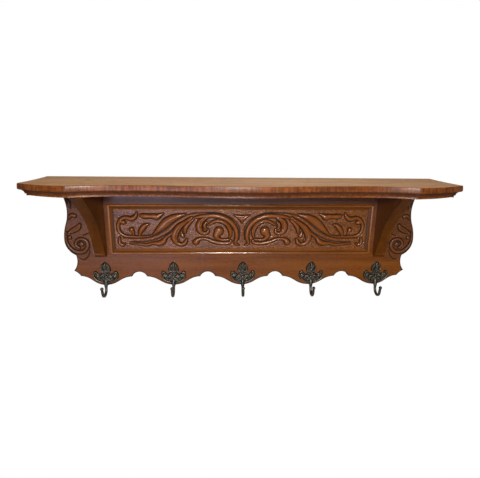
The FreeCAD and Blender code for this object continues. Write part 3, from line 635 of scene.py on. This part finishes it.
def recesses(piece, pitch, reach, depth, front_y, run):
    """How far each corner in front of front_y lies below the work around it, and above it.

    The work around it is a mean taken twice over reach cells of the pitch each way, and depth
    is what counts as deep. run is how much darker the undersides are painted, as painted shade.
    """
    place, normal = corners_of(piece)
    on_front = place[:, 1] < front_y
    cell_x = np.round((place[:, 0] - place[:, 0].min()) / pitch).astype(int)
    cell_z = np.round((place[:, 2] - place[:, 2].min()) / pitch).astype(int)
    total = np.zeros((cell_x.max() + 1, cell_z.max() + 1))
    count = np.zeros_like(total)
    np.add.at(total, (cell_x[on_front], cell_z[on_front]), -place[on_front, 1])
    np.add.at(count, (cell_x[on_front], cell_z[on_front]), 1)

    def spread(values):
        for axis in (0, 1):
            for _ in range(2):
                values = sum(np.roll(values, shift, axis) for shift in range(-reach, reach + 1))
        return values

    mean = spread(total) / np.maximum(spread(count), 1e-9)
    below = (mean[cell_x, cell_z] + place[:, 1]) * on_front
    # Painted shade: corners that face down are painted darker, by run.
    under = run * np.clip(-1.4 * normal[:, 2], 0, 1) * on_front
    return np.clip(below / depth + under, 0, 1), np.clip(-below / depth, 0, 0.8)


# Painted shade: the carving's hollows and undersides, the arrises and the carved ends are painted
# darker, the ends most towards the shelf, whose shadow falls there. The crests are painted lighter,
# partly as rubbed wear and partly as painted highlight.
place, _ = corners_of(board)
x, y, z = abs(place[:, 0]), place[:, 1], place[:, 2]
arris_back = board_face + board_arris - 0.1
recess, crest = recesses(board, pitch=1.5, reach=2, depth=0.9, front_y=arris_back, run=0.8)
on_arris = (edge_distance(place[:, 0], z, board_line) < board_arris + 0.6) & (y < arris_back)
painted_end_shade = 0.27 + 0.14 * np.clip((z + 60) / 60, 0, 1)
over_end = np.clip((x - carved_end - 2) / 14, 0, 1) * np.clip((z - carved_foot + 3) / 20, 0, 1)
kept = painted_end_shade * over_end * (y < board_face + 0.1)
mark(board, "recess", np.clip(np.maximum(recess * 1.1, 0.55 * on_arris) + kept, 0, 1))
mark(board, "crest", 0.45 * crest * ~on_arris)
punched = np.clip((x - carved_end) / 6, 0, 1) * np.clip((z - carved_foot - 12) / 12, 0, 1)
mark(board, "matted", 0.8 * punched * (abs(y - board_face) < 1.2))
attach(board, "root")
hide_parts("back_board")


# Carved panel. A thin oak panel let into the board, its ground cut away by hand and matted
# with a punch, so that the acanthus scrollwork stands on it: a long S stem, scrolls, leaves.
# The left half is the right half in a mirror.
panel_face, panel_middle, frame_width = -18.0, (frame_top + frame_foot) / 2, 14.5
field_half_width = frame_half_width - frame_width
field_half_height = (frame_top - frame_foot) / 2 - frame_width
# Strokes of the right half, from the panel's middle.
scrollwork = {
    "end_scroll": [(273, 44, 1.6), (275, 38, 3.1), (281, 31, 4.9), (290, 28, 5.2), (302, 31, 3.9),
                   (312, 28, 3.9), (320, 19, 3.6), (323, 7, 3.6), (321, -5, 3.6), (314, -14, 3.6),
                   (301, -19, 3.1), (280, -20, 2.6), (257, -20, 2.3), (236, -17, 1.3)],
    "end_lobe": [(317, 21, 4.2), (310, 19, 4.9), (305, 18, 2.3)],
    "end_hook": [(321, -22, 1.3), (322, -30, 2.9), (321, -38, 3.9), (316, -42, 3.1), (308, -39, 1.0)],
    "berry": [(289, -1, 5.7)],
    "berry_tail": [(288, -3, 4.2), (285, -10, 2.6), (284, -16, 1.3)],
    "bud": [(269, -16, 2.1), (266, -6, 4.9), (260, 3, 6.0), (253, 10, 4.2), (243, 14, 0.8)],
    "top_leaf": [(260, 36, 4.7), (253, 35, 6.0), (241, 35, 5.2), (231, 35, 6.0), (223, 33, 7.0),
                 (215, 37, 4.2), (205, 42, 0.8)],
    "pointed_leaf": [(235, -16, 1.0), (222, -4, 5.2), (210, 7, 8.6), (196, 20, 10.1), (180, 30, 8.1),
                     (164, 36, 4.9), (147, 41, 0.8)],
    "outer_scroll": [(128, 30, 1.3), (110, 34, 3.9), (90, 36, 4.7), (67, 36, 5.2), (46, 30, 5.5),
                     (29, 19, 5.7), (18, 4, 5.5), (14, -11, 5.0), (14, -24, 4.2), (17, -33, 3.4),
                     (16, -40, 2.8), (8, -43, 1.0)],
    "inner_scroll": [(89, 11, 1.3), (81, 17, 3.1), (67, 22.5, 3.8), (52, 20.5, 4.6), (39, 12, 5.2),
                     (32, -1, 4.8), (30, -14, 3.2), (33, -23, 1.4)],
    "inner_scroll_foot": [(34, -27.5, 2.2), (47, -28.5, 2.4), (59, -27, 3.4), (68, -18, 5.5)],
    "eye": [(61, -5, 11.0)],
    "eye_tail": [(63, -8, 9.2), (68, -17, 6.8), (62, -26, 4.0)],
    "inner_curl": [(88, 33, 2.1), (100, 28, 5.2), (110, 18, 7.2), (113, 5, 7.6), (109, -6, 5.8),
                   (99, -11, 4.0), (90, -7, 3.2), (89, 1, 1.0)],
    "inner_curl_lobe": [(93, 20, 1.4), (98, 13, 3.6), (97, 4, 3.2), (92, 1, 1.4)],
    "acanthus": [(132, 31, 3.1), (149, 18, 5.7), (165, 6, 7.5), (175, -9, 8.1), (179, -23, 7.0),
                 (173, -36, 5.2), (161, -41, 4.2), (151, -37, 4.4), (146, -27, 2.1)],
    "acanthus_inside": [(128, 26, 2.1), (138, 18, 4.2), (147, 7, 5.2), (150, -3, 4.0), (149, -10, 1.3)],
    "acanthus_curl": [(160, -5, 1.2), (159, -11, 2.6), (156, -18, 4.6)],
    "ball_leaf": [(122, -35, 7.3), (116, -28, 4.4), (104, -25, 3.1), (91, -27, 3.2), (77, -33, 4.0),
                  (61, -37, 4.4), (46, -38, 4.2), (35, -37, 3.6), (29, -33, 2.8), (31, -29, 1.6)],
    "wave_leaf": [(295, -39, 1.0), (271, -40, 2.3), (253, -42, 3.1), (236, -38, 3.1), (220, -38, 5.7),
                  (208, -33, 6.0), (201, -23, 3.6), (189, -14, 2.9), (172, 0, 1.0)],
    "middle_leaf": [(0, 31, 4.0), (0, 26, 4.2), (0, 18.5, 0.8)],
    "middle_leaf_edge": [(20, 38, 0.6), (13, 35, 2.0), (8, 31.5, 2.8), (4, 28, 3.0), (0, 22, 1.6)],
    "middle_leaf_top": [(0, 34, 2.6), (7, 35, 2.4), (14, 36.5, 1.4)],
}
scrollwork_grooves = {
    "stem_upper_line": [(312, -23, 1.8), (275, -24, 1.8), (239, -20, 1.8), (212, -9, 1.8), (191, 6, 1.8),
                        (170, 24, 1.8), (149, 36, 1.8), (128, 42, 1.8), (100, 44, 1.8), (69, 44, 1.8),
                        (44, 38, 1.8), (23, 26, 1.8), (9, 9, 1.8), (6, -10, 1.8), (8, -28, 1.6)],
    "stem_lower_line": [(294, -34, 1.6), (266, -34, 1.8), (239, -31, 1.8), (213, -21, 1.8), (191, -8, 1.8),
                        (173, 9, 1.8), (157, 20, 1.8), (136, 32, 1.3)],
    "inner_curl_line": [(91, 29, 1.2), (101, 20, 1.5), (105, 9, 1.5), (103, -1, 1.2)],
    "inner_curl_rib": [(98, 31, 0.8), (107, 22, 1.2), (110, 10, 1.2), (108, 0, 0.8)],
    "inner_scroll_rib": [(66, 25, 0.8), (51, 23, 1.2), (37, 14, 1.4), (30, 0, 1.4), (28, -13, 0.8)],
    "inner_scroll_line": [(58, 19, 0.7), (49, 16, 1.1), (41, 8, 1.2), (36, -3, 1.1), (34, -13, 0.7)],
    "acanthus_line": [(139, 22, 1.2), (154, 9, 1.6), (164, -6, 1.6), (168, -20, 1.5), (165, -31, 1.2)],
    "acanthus_rib": [(143, 24, 0.8), (159, 11, 1.2), (170, -4, 1.3), (175, -19, 1.3), (173, -30, 0.8)],
}
carving_rise, stop_cut, carving_pitch = 5.2, 1.6, 0.9
half_columns = round((field_half_width + 1) / carving_pitch)
rows = round(2 * (field_half_height + 1) / carving_pitch)
column_x = np.linspace(0, field_half_width + 1, half_columns)
row_z = np.linspace(-field_half_height - 1, field_half_height + 1, rows)
grid_x, grid_z = (g.ravel() for g in np.meshgrid(column_x, row_z, indexing="ij"))
half_height = carve(grid_x, grid_z, scrollwork.values(), scrollwork_grooves.values(), carving_rise, stop_cut)
half_height = half_height.reshape(half_columns, rows)
half_height[-1, :] = half_height[:, 0] = half_height[:, -1] = 0.0
panel_height = np.vstack([half_height[:0:-1], half_height])
panel_x = np.concatenate([-column_x[:0:-1], column_x])
corners = [(x, panel_face - panel_height[i, j], panel_middle + z)
           for i, x in enumerate(panel_x) for j, z in enumerate(row_z)]
columns = len(panel_x)
faces = [(i * rows + j, (i + 1) * rows + j, (i + 1) * rows + j + 1, i * rows + j + 1)
         for i in range(columns - 1) for j in range(rows - 1)]
field_line = [(panel_x[i], row_z[0]) for i in range(columns)] + [(panel_x[-1], z) for z in row_z[1:]]
field_line += [(x, row_z[-1]) for x in panel_x[-2::-1]] + [(panel_x[0], z) for z in row_z[-2:0:-1]]
panel_line = oblong(-frame_half_width + seat_gap, frame_half_width - seat_gap, frame_foot + seat_gap,
                    frame_top - seat_gap)
border = relief_face(panel_line, [[(x, z + panel_middle) for x, z in field_line]], panel_face)
panel_parts = join((corners, faces), border, pocket(panel_line, panel_face, panel_back))
oak_carving = varnished_oak("varnished_oak_carving", 0, "#6b3c15", "#8c5422", 0.52, carved=True,
                            roughness=0.24)
panel = new_mesh("oak_carved_panel", *panel_parts, oak_carving)
# Painted shade in the hollows and under the strokes; the crests are painted lighter, partly as rubbed wear
# and partly as painted highlight.
recess, crest = recesses(panel, carving_pitch, reach=3, depth=0.9, front_y=panel_back - 1, run=0.65)
mark(panel, "recess", recess)
mark(panel, "crest", crest)
place, _ = corners_of(panel)
in_field = (abs(place[:, 0]) < field_half_width) & (abs(place[:, 2] - panel_middle) < field_half_height)
mark(panel, "matted", in_field * np.clip(1 - abs(place[:, 1] - panel_face) / 1.2, 0, 1))
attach(panel, "root")
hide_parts("carved_panel")


# Frame moulding. Four mitred lengths of oak round the carving, glued in the housing: a small
# quirk, a bead proud of the board and a hollow slope down to the carved ground.
frame_proud, frame_bead, frame_quirk, quirk_lip, foot_line = 3.5, 6.5, 1.2, 0.3, 3.4
bead_shares = [(0.0, 0.09), (0.02, 0.45), (0.07, 0.78), (0.14, 0.95), (0.22, 1.0), (0.5, 0.95),
               (0.61, 0.876), (0.77, 0.769), (0.85, 0.715), (0.92, 0.56), (0.97, 0.33), (1.0, 0.09)]
frame_profile = [(0, panel_face), (0, board_face), (frame_quirk / 2, board_face - quirk_lip),
                 (frame_quirk, board_face)]
frame_profile += [(frame_quirk + frame_bead * across, board_face - frame_proud * out)
                  for across, out in bead_shares]
slope_top = frame_profile[-1]
foot_share = 1 - foot_line / (frame_width - slope_top[0])
frame_profile += [(frame_width - foot_line, slope_top[1] + (panel_face - slope_top[1]) * foot_share),
                  (frame_width, panel_face)]
# Each length has the way it faces, the axis of its grain and how dark its foot is painted, as
# painted shade where the slope meets the ground, darkest on the two end lengths.
frame_lengths = {"top": ((0, 1), 0, 0.45), "bottom": ((0, -1), 0, 0.1),
                 "left": ((-1, 0), 2, 0.9), "right": ((1, 0), 2, 0.9)}
for name, (direction, grain_axis, foot_shade) in frame_lengths.items():
    out = np.array(direction, float)
    along = np.array([-out[1], out[0]])
    half = np.array([frame_half_width, (frame_top - frame_foot) / 2]) - seat_gap
    rings = []
    for side in (-1, 1):
        ring = []
        for inset, y in frame_profile:
            place = out * (abs(out) @ half - inset) + along * side * (abs(along) @ half - inset)
            ring.append((place[0], y, place[1] + panel_middle))
        rings.append(ring)
    # The top length lies in the shelf's shade, where the varnish was never rubbed bright.
    gloss = 0.3 if name == "top" else 0.5
    oak = varnished_oak("varnished_oak_moulding_" + name, grain_axis, "#79451a", "#985d29", gloss,
                        carved=True, roughness=0.2)
    moulding = new_mesh("oak_moulding_" + name, *loft(rings), oak, 60)
    place, _ = corners_of(moulding)
    inset = abs(out) @ half - place[:, [0, 2]] @ out + out[1] * panel_middle
    shares = np.interp(inset, [slope_top[0], frame_width - foot_line, frame_width], [0.0, 0.75, 1.0])
    mark(moulding, "recess", foot_shade * shares)
    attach(moulding, "root")
    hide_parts("panel_moulding_" + name)


# Brackets. Two solid oak brackets with the grain upright and a hollow front, band-sawn and
# eased along its edges, screwed from behind and from above. Their oak is painted darker than the
# board's, partly for the end grain across the sawn front and partly as painted shade.
bracket_thick, bracket_height, bracket_reach = 26.0, 176.0, 143.0
bracket_nose, bracket_nose_height, bracket_nose_share, bracket_arris = 18.0, 9.0, 0.3, 1.2
bracket_curve_shares = [(0.34, 0.21), (0.72, 0.53)]
bracket_foot = board_top - bracket_height
tip = np.array([board_face - bracket_reach, board_top])
nose_top = np.array([board_face - bracket_nose, bracket_foot + bracket_nose_height])
nose_foot = np.array([board_face - bracket_nose / 2, bracket_foot])
nose_middle = (nose_top + nose_foot) / 2 - bracket_nose_height * bracket_nose_share
# The curve is a stroke without width, so its half width is left at 1.
hollow_line = [tuple(tip + (nose_top - tip) * share) + (1,)
               for share in [(0, 0)] + bracket_curve_shares + [(1, 1)]]
front_curve = [tuple(p[:2]) for p in smooth_stroke(hollow_line, 5.0)[:-1]]
front_curve += [tuple(p) for p in arc_points(nose_top, nose_middle, nose_foot, 1.5)] + [tuple(nose_foot)]
ring_insets = [(bracket_arris, 0.0), (bracket_arris * 0.3, bracket_arris * 0.3), (0.0, bracket_arris)]
ring_insets += [(inset, bracket_thick - along) for inset, along in reversed(ring_insets)]
oak_bracket = varnished_oak("varnished_oak_brackets", 2, "#5a2f00", "#743f00", 0.33, carved=True)
for side, name in ((-1, "left"), (1, "right")):
    rings = []
    for inset, along in ring_insets:
        curve = inset_line(front_curve, -inset, closed=False)
        curve[0] = (tip[0] + inset * 1.4, board_top)
        curve[-1] = (nose_foot[0] + inset * 0.6, bracket_foot + inset)
        ring = list(curve) + [(board_face, bracket_foot + inset), (board_face, board_top)]
        rings.append([(side * bracket_x - bracket_thick / 2 + along, y, z) for y, z in ring])
    bracket = new_mesh("oak_bracket_" + name, *loft(rings), oak_bracket, 50)
    # The under side of the hollow, sawn nearly across the grain, faces down and is painted darker as painted
    # shade.
    _, normal = corners_of(bracket)
    mark(bracket, "recess", np.clip(-normal[:, 2] - 0.3, 0, 0.2))
    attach(bracket, "root")
    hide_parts(name + "_bracket")


# Hooks. Five cast brass hooks, each a pierced plate with its bar in one piece: a flame over
# two scrolled wings, and a round bar that drops below the board and turns up to a ball. The
# brass is old, near black in its hollows and rubbed bright on its high places.
# They were fitted by eye, so each is some way right of its lobe's middle.
hook_shifts = (3.1, 0.1, 3.4, 6.7, 2.8)
plate_thick, plate_half_width, plate_height = 3.0, 33.5, 67.3
plate_face = board_face - plate_thick
plate_shares = [(0.0, 1.0), (0.25, 0.9), (0.43, 0.68), (0.4, 0.6), (0.24, 0.555), (0.45, 0.5), (0.62, 0.545),
                (0.8, 0.615), (0.98, 0.52), (0.99, 0.36), (0.7, 0.18), (0.38, 0.115), (0.17, 0.02)]
# Strokes of the plate's right half, from its middle and its foot.
plate_ornament = [
    [(0, 62, 2.2), (0, 57, 3.2), (0, 51, 2.0)],
    [(1.5, 65, 0.8), (6, 61, 1.9), (9.5, 55, 2.2), (11, 49, 1.6)],
    [(8.5, 45, 1.2), (12.5, 49.5, 1.8), (13.2, 44.5, 2.2), (10.5, 43, 1.2)],
    [(0, 44, 2.6)],
    [(5.5, 41, 1.8)],
    [(0, 37.5, 1.8)],
    [(4, 33, 1.4), (11, 34.5, 2.0), (18, 36, 1.8), (22, 39, 1.4)],
    [(19, 31, 1.0), (22, 36.5, 2.2), (27, 38, 2.6), (31, 33, 2.4), (31, 25, 2.4), (27, 18.5, 2.4),
     (20, 13.5, 2.2), (12, 10.5, 1.8), (6, 10, 1.0)],
    [(25.5, 31, 2.8)],
    [(5, 27.5, 1.2), (11, 28, 2.4), (16, 25, 2.2), (17, 19.5, 1.4)],
    [(0, 25, 3.4)],
    [(5.6, 21.5, 2.0)],
    [(10.5, 17, 1.8)],
    [(0, 31.5, 1.8)],
]
ornament_rise, ornament_cut, ornament_half_width, ornament_height = 2.4, 0.7, 34.0, 68.0
plate_pitch = 0.8
slot_place, slot_size, slot_slant = (5.6, 51.0), (2.2, 7.0), 0.5
hook_screw_place, hook_screw_head, screw_hole = (22.0, 24.8), (3.1, 1.2), 1.65
rod_radius, rod_y, rod_bend, rod_bend_drop = 3.6, -29.1, 16.5, 4.2
rod_tip_rise, rod_flare, ball_radius, ball_neck_share = 6.3, 2.5, 4.4, 0.8
bend_steps, ball_steps, ball_start = 18, 12, 3
# The boss under the plate: rise over the board's foot, radius, and Y in the rack's frame.
boss_sections = [(21, 0.5, -25.2), (19, 2.6, -25.6), (15, 4.3, -26.2), (9, 5.2, -27.2), (3, 4.9, -28.4),
                 (-2, 4.1, -29.1)]


def antique_brass():
    """Cast brass, patinated. It gives a dark olive metal with gold on its high places."""
    finish, tree, output = new_finish("antique_cast_brass")
    place = add_node(tree, "ShaderNodeTexCoord")
    cast_grain, tarnish_patch = 0.0012, 0.009
    grain = add_node(tree, "ShaderNodeTexNoise", {"Scale": 1 / cast_grain, "Detail": 2.0},
                     {"Vector": place.outputs["Object"]})
    patches = add_node(tree, "ShaderNodeTexNoise", {"Scale": 1 / tarnish_patch, "Detail": 3.0},
                       {"Vector": place.outputs["Object"]})
    recess = add_node(tree, "ShaderNodeAttribute", {"attribute_name": "recess"})
    crest = add_node(tree, "ShaderNodeAttribute", {"attribute_name": "crest"})
    patch = add_node(tree, "ShaderNodeMapRange", {"From Min": 0.38, "From Max": 0.62},
                     {"Value": patches.outputs[0]})
    metal = add_node(tree, "ShaderNodeMix", {"data_type": "RGBA", 6: linear("#434240"), 7: linear("#646055")},
                     {0: patch.outputs[0]})
    metal = add_node(tree, "ShaderNodeMix", {"data_type": "RGBA", 7: linear("#978d70")},
                     {0: crest.outputs["Fac"], 6: metal.outputs[2]})
    metal = add_node(tree, "ShaderNodeMix", {"data_type": "RGBA", 7: linear("#1f1c16")},
                     {0: recess.outputs["Fac"], 6: metal.outputs[2]})
    rough = add_node(tree, "ShaderNodeMapRange",
                     {"From Min": 0.3, "From Max": 0.7, "To Min": 0.34, "To Max": 0.5},
                     {"Value": patches.outputs[0]})
    relief = add_node(tree, "ShaderNodeBump", {"Strength": 0.4, "Distance": 0.0003},
                      {"Height": grain.outputs[0]})
    # The patina hides part of the metal.
    brass = add_node(tree, "ShaderNodeBsdfPrincipled", {"Metallic": 0.75},
                     {"Base Color": metal.outputs[2], "Roughness": rough.outputs[0],
                      "Normal": relief.outputs[0]})
    tree.links.new(brass.outputs[0], output.inputs["Surface"])
    return finish


def round_section(centre, radius, direction, sides=18):
    """Corners round a bar, square to a direction that has no X in it."""
    across = Vector(direction).normalized().cross(Vector((1, 0, 0))) * radius
    return [tuple(Vector(centre) + Vector((radius, 0, 0)) * math.cos(math.tau * i / sides)
                  + across * math.sin(math.tau * i / sides)) for i in range(sides)]


def slot_outline(side):
    """Slanted oval slot through the flame, on one side of its middle."""
    turns = [math.tau * i / 12 for i in range(12)]
    return [(side * slot_place[0] + slot_size[0] / 2 * math.cos(turn) + side * slot_slant * math.sin(turn),
             slot_place[1] + slot_size[1] / 2 * math.sin(turn)) for turn in turns]


def shifted(line, x, z):
    """Outline moved to a hook's place."""
    return [(px + x, pz + z) for px, pz in line]


plate_points = [(plate_half_width * u, plate_height * v) for u, v in plate_shares]
plate_right = []
for i in range(0, len(plate_points) - 1, 2):
    plate_right += arc_points(plate_points[i], plate_points[i + 1], plate_points[i + 2], 1.6)
plate_right = [tuple(p) for p in plate_right] + [plate_points[-1]]
plate_line = [(x, z) for x, z in reversed(plate_right)] + [(-x, z) for x, z in plate_right[1:]]
plate_edges = [(0.0, board_face), (0.0, plate_face + 1.5), (0.4, plate_face + 0.4), (1.2, plate_face)]
plate_rim = [(inset_line(plate_line, inset), y) for inset, y in plate_edges]
plate_front = [tuple(p) for p in plate_rim[-1][0]]
slots = [slot_outline(side) for side in (-1, 1)]
screw_holes = [circle(side * hook_screw_place[0], hook_screw_place[1], screw_hole, 12) for side in (-1, 1)]
# The relief stands on a grid of places in the plate, and runs out towards its edges and screws.
grid_x, grid_z = (g.ravel() for g in np.meshgrid(
    np.arange(-ornament_half_width, ornament_half_width + 0.1, plate_pitch),
    np.arange(0, ornament_height, plate_pitch)))
clear = 0.4 * plate_pitch
keep = is_inside(grid_x, grid_z, plate_front) & (edge_distance(grid_x, grid_z, plate_front) > clear)
for hole in slots + screw_holes:
    keep &= ~is_inside(grid_x, grid_z, hole) & (edge_distance(grid_x, grid_z, hole) > clear)
grid_x, grid_z = grid_x[keep], grid_z[keep]
head_gap = np.hypot(abs(grid_x) - hook_screw_place[0], grid_z - hook_screw_place[1]) - hook_screw_head[0]
ease = np.clip(head_gap / 1.2, 0, 1)
for line in [plate_front] + slots:
    ease *= np.clip(edge_distance(grid_x, grid_z, line), 0, 1)
ornament_relief = carve(abs(grid_x), grid_z, plate_ornament, [], ornament_rise, ornament_cut) * ease
ornament_places = np.stack([grid_x, grid_z], 1)

brass = antique_brass()
hook_xs = [lobe_pitch * n - last_lobe_x + shift for n, shift in enumerate(hook_shifts)]
for number, hook_x in enumerate(hook_xs, 1):
    place = (hook_x, board_foot)
    rings = [[(x, y, z) for x, z in shifted(line, *place)] for line, y in plate_rim]
    holes = [shifted(hole, *place) for hole in slots + screw_holes]
    front = relief_face(shifted(plate_front, *place), holes, plate_face, ornament_places + place,
                        ornament_relief)
    back = relief_face(shifted(plate_line, *place), holes, board_face)
    walls = [loft([[(x, y, z) for x, z in hole] for y in (board_face, plate_face)], False, False)
             for hole in holes]
    bar = [round_section((hook_x, y, board_foot + rise), radius, (0, 0, -1))
           for rise, radius, y in boss_sections]
    bend_centre = Vector((hook_x, rod_y - rod_bend, board_foot - rod_bend_drop))
    for i in range(bend_steps + 1):
        turn = math.pi * i / bend_steps
        out = Vector((0, math.cos(turn), -math.sin(turn)))
        on = Vector((0, -math.sin(turn), -math.cos(turn)))
        bar.append(round_section(bend_centre + out * rod_bend, rod_radius, on))
    to_tip = Vector((0, -rod_flare, rod_tip_rise + rod_bend_drop)).normalized()
    ball_centre = Vector((hook_x, rod_y - 2 * rod_bend - rod_flare, board_foot + rod_tip_rise))
    for i in range(ball_start, ball_steps):
        turn = math.pi * i / ball_steps
        radius = max(ball_radius * math.sin(turn), rod_radius * ball_neck_share if i == ball_start else 0.0)
        bar.append(round_section(ball_centre - to_tip * ball_radius * math.cos(turn), radius, to_tip))
    hook_parts = join(loft(rings, False, False), front, back, *walls, loft(bar))
    hook = new_mesh("brass_hook_%d" % number, *hook_parts, brass, 50)
    recess, crest = recesses(hook, plate_pitch, reach=2, depth=0.9, front_y=plate_face + 0.3, run=0.0)
    place, _ = corners_of(hook)
    on_bar = place[:, 1] < plate_face - 3
    # Coats rubbed the bar below the board.
    worn = 0.3 * on_bar * np.clip((board_foot + 4 - place[:, 2]) / 8, 0, 1)
    mark(hook, "recess", recess * ~on_bar)
    mark(hook, "crest", np.maximum(crest * ~on_bar, worn))
    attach(hook, "root")
    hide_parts("hook_%d" % number)


# Hook screws. Ten small brass wood screws with domed, slotted heads, two to a plate, gone
# dark like the hooks.
head_radius, head_thick = hook_screw_head
head_rim, slot_half, slot_deep, shank_radius, screw_length = 0.4, 0.4, 0.7, 1.5, 15.0
head_steps = np.arange(-3, 3.1, 0.4)
head_grid = np.stack([g.ravel() for g in np.meshgrid(head_steps, head_steps)], 1)
head_grid = head_grid[np.hypot(*head_grid.T) < head_radius - 0.3]
off_middle = np.hypot(*head_grid.T)
rim_face = plate_face - head_rim
screw_parts = []
for number, hook_x in enumerate(hook_xs):
    for side in (-1, 1):
        centre = (hook_x + side * hook_screw_place[0], board_foot + hook_screw_place[1])
        slot_turn = 0.6 + 1.1 * number + 0.9 * side
        off_slot = abs(head_grid @ (math.sin(slot_turn), math.cos(slot_turn)))
        dome = (head_thick - head_rim) * (1 - (off_middle / head_radius) ** 2)
        dome -= np.where(off_slot < slot_half, slot_deep, 0)
        disc, shank = circle(*centre, head_radius), circle(*centre, shank_radius, 12)
        screw_parts.append(relief_face(disc, [], rim_face, head_grid + centre, dome))
        screw_parts.append(pocket(disc, rim_face, plate_face))
        screw_parts.append(loft([[(x, y, z) for x, z in shank]
                                 for y in (plate_face - 0.2, plate_face + screw_length)]))
hook_screws = new_mesh("brass_hook_screws", *join(*screw_parts), brass, 40)
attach(hook_screws, "root")
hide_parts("hook_screws")


# Hidden fixings. The plugs over the shelf screws are turned oak, sanded flush. The hanging
# plates and the wood screws are zinc-plated steel, which gives a cool dull metal.
def zinc_plated_steel():
    """Zinc-plated steel. It gives a pale, faintly mottled grey."""
    finish, tree, output = new_finish("zinc_plated_steel")
    place = add_node(tree, "ShaderNodeTexCoord")
    spangle = 0.004
    cells = add_node(tree, "ShaderNodeTexNoise", {"Scale": 1 / spangle, "Detail": 3.0},
                     {"Vector": place.outputs["Object"]})
    metal = add_node(tree, "ShaderNodeMix", {"data_type": "RGBA", 6: linear("#8f9398"), 7: linear("#b4b7ba")},
                     {0: cells.outputs[0]})
    rough = add_node(tree, "ShaderNodeMapRange",
                     {"From Min": 0.3, "From Max": 0.7, "To Min": 0.3, "To Max": 0.46},
                     {"Value": cells.outputs[0]})
    relief = add_node(tree, "ShaderNodeBump", {"Strength": 0.2, "Distance": 0.0002},
                      {"Height": cells.outputs[0]})
    zinc = add_node(tree, "ShaderNodeBsdfPrincipled", {"Metallic": 1.0},
                    {"Base Color": metal.outputs[2], "Roughness": rough.outputs[0],
                     "Normal": relief.outputs[0]})
    tree.links.new(zinc.outputs[0], output.inputs["Surface"])
    return finish


steel = zinc_plated_steel()
oak_plug = varnished_oak("varnished_oak_plugs", 1, "#6a4526", "#8a6038", 0.25)
hidden = {"shelf_plugs": oak_plug}
for name in ("shelf_screws", "bracket_screws", "left_hanging_plate", "right_hanging_plate",
             "hanging_plate_screws"):
    hidden[name] = steel
for name, finish in hidden.items():
    nodes[name].data.materials.clear()
    nodes[name].data.materials.append(finish)
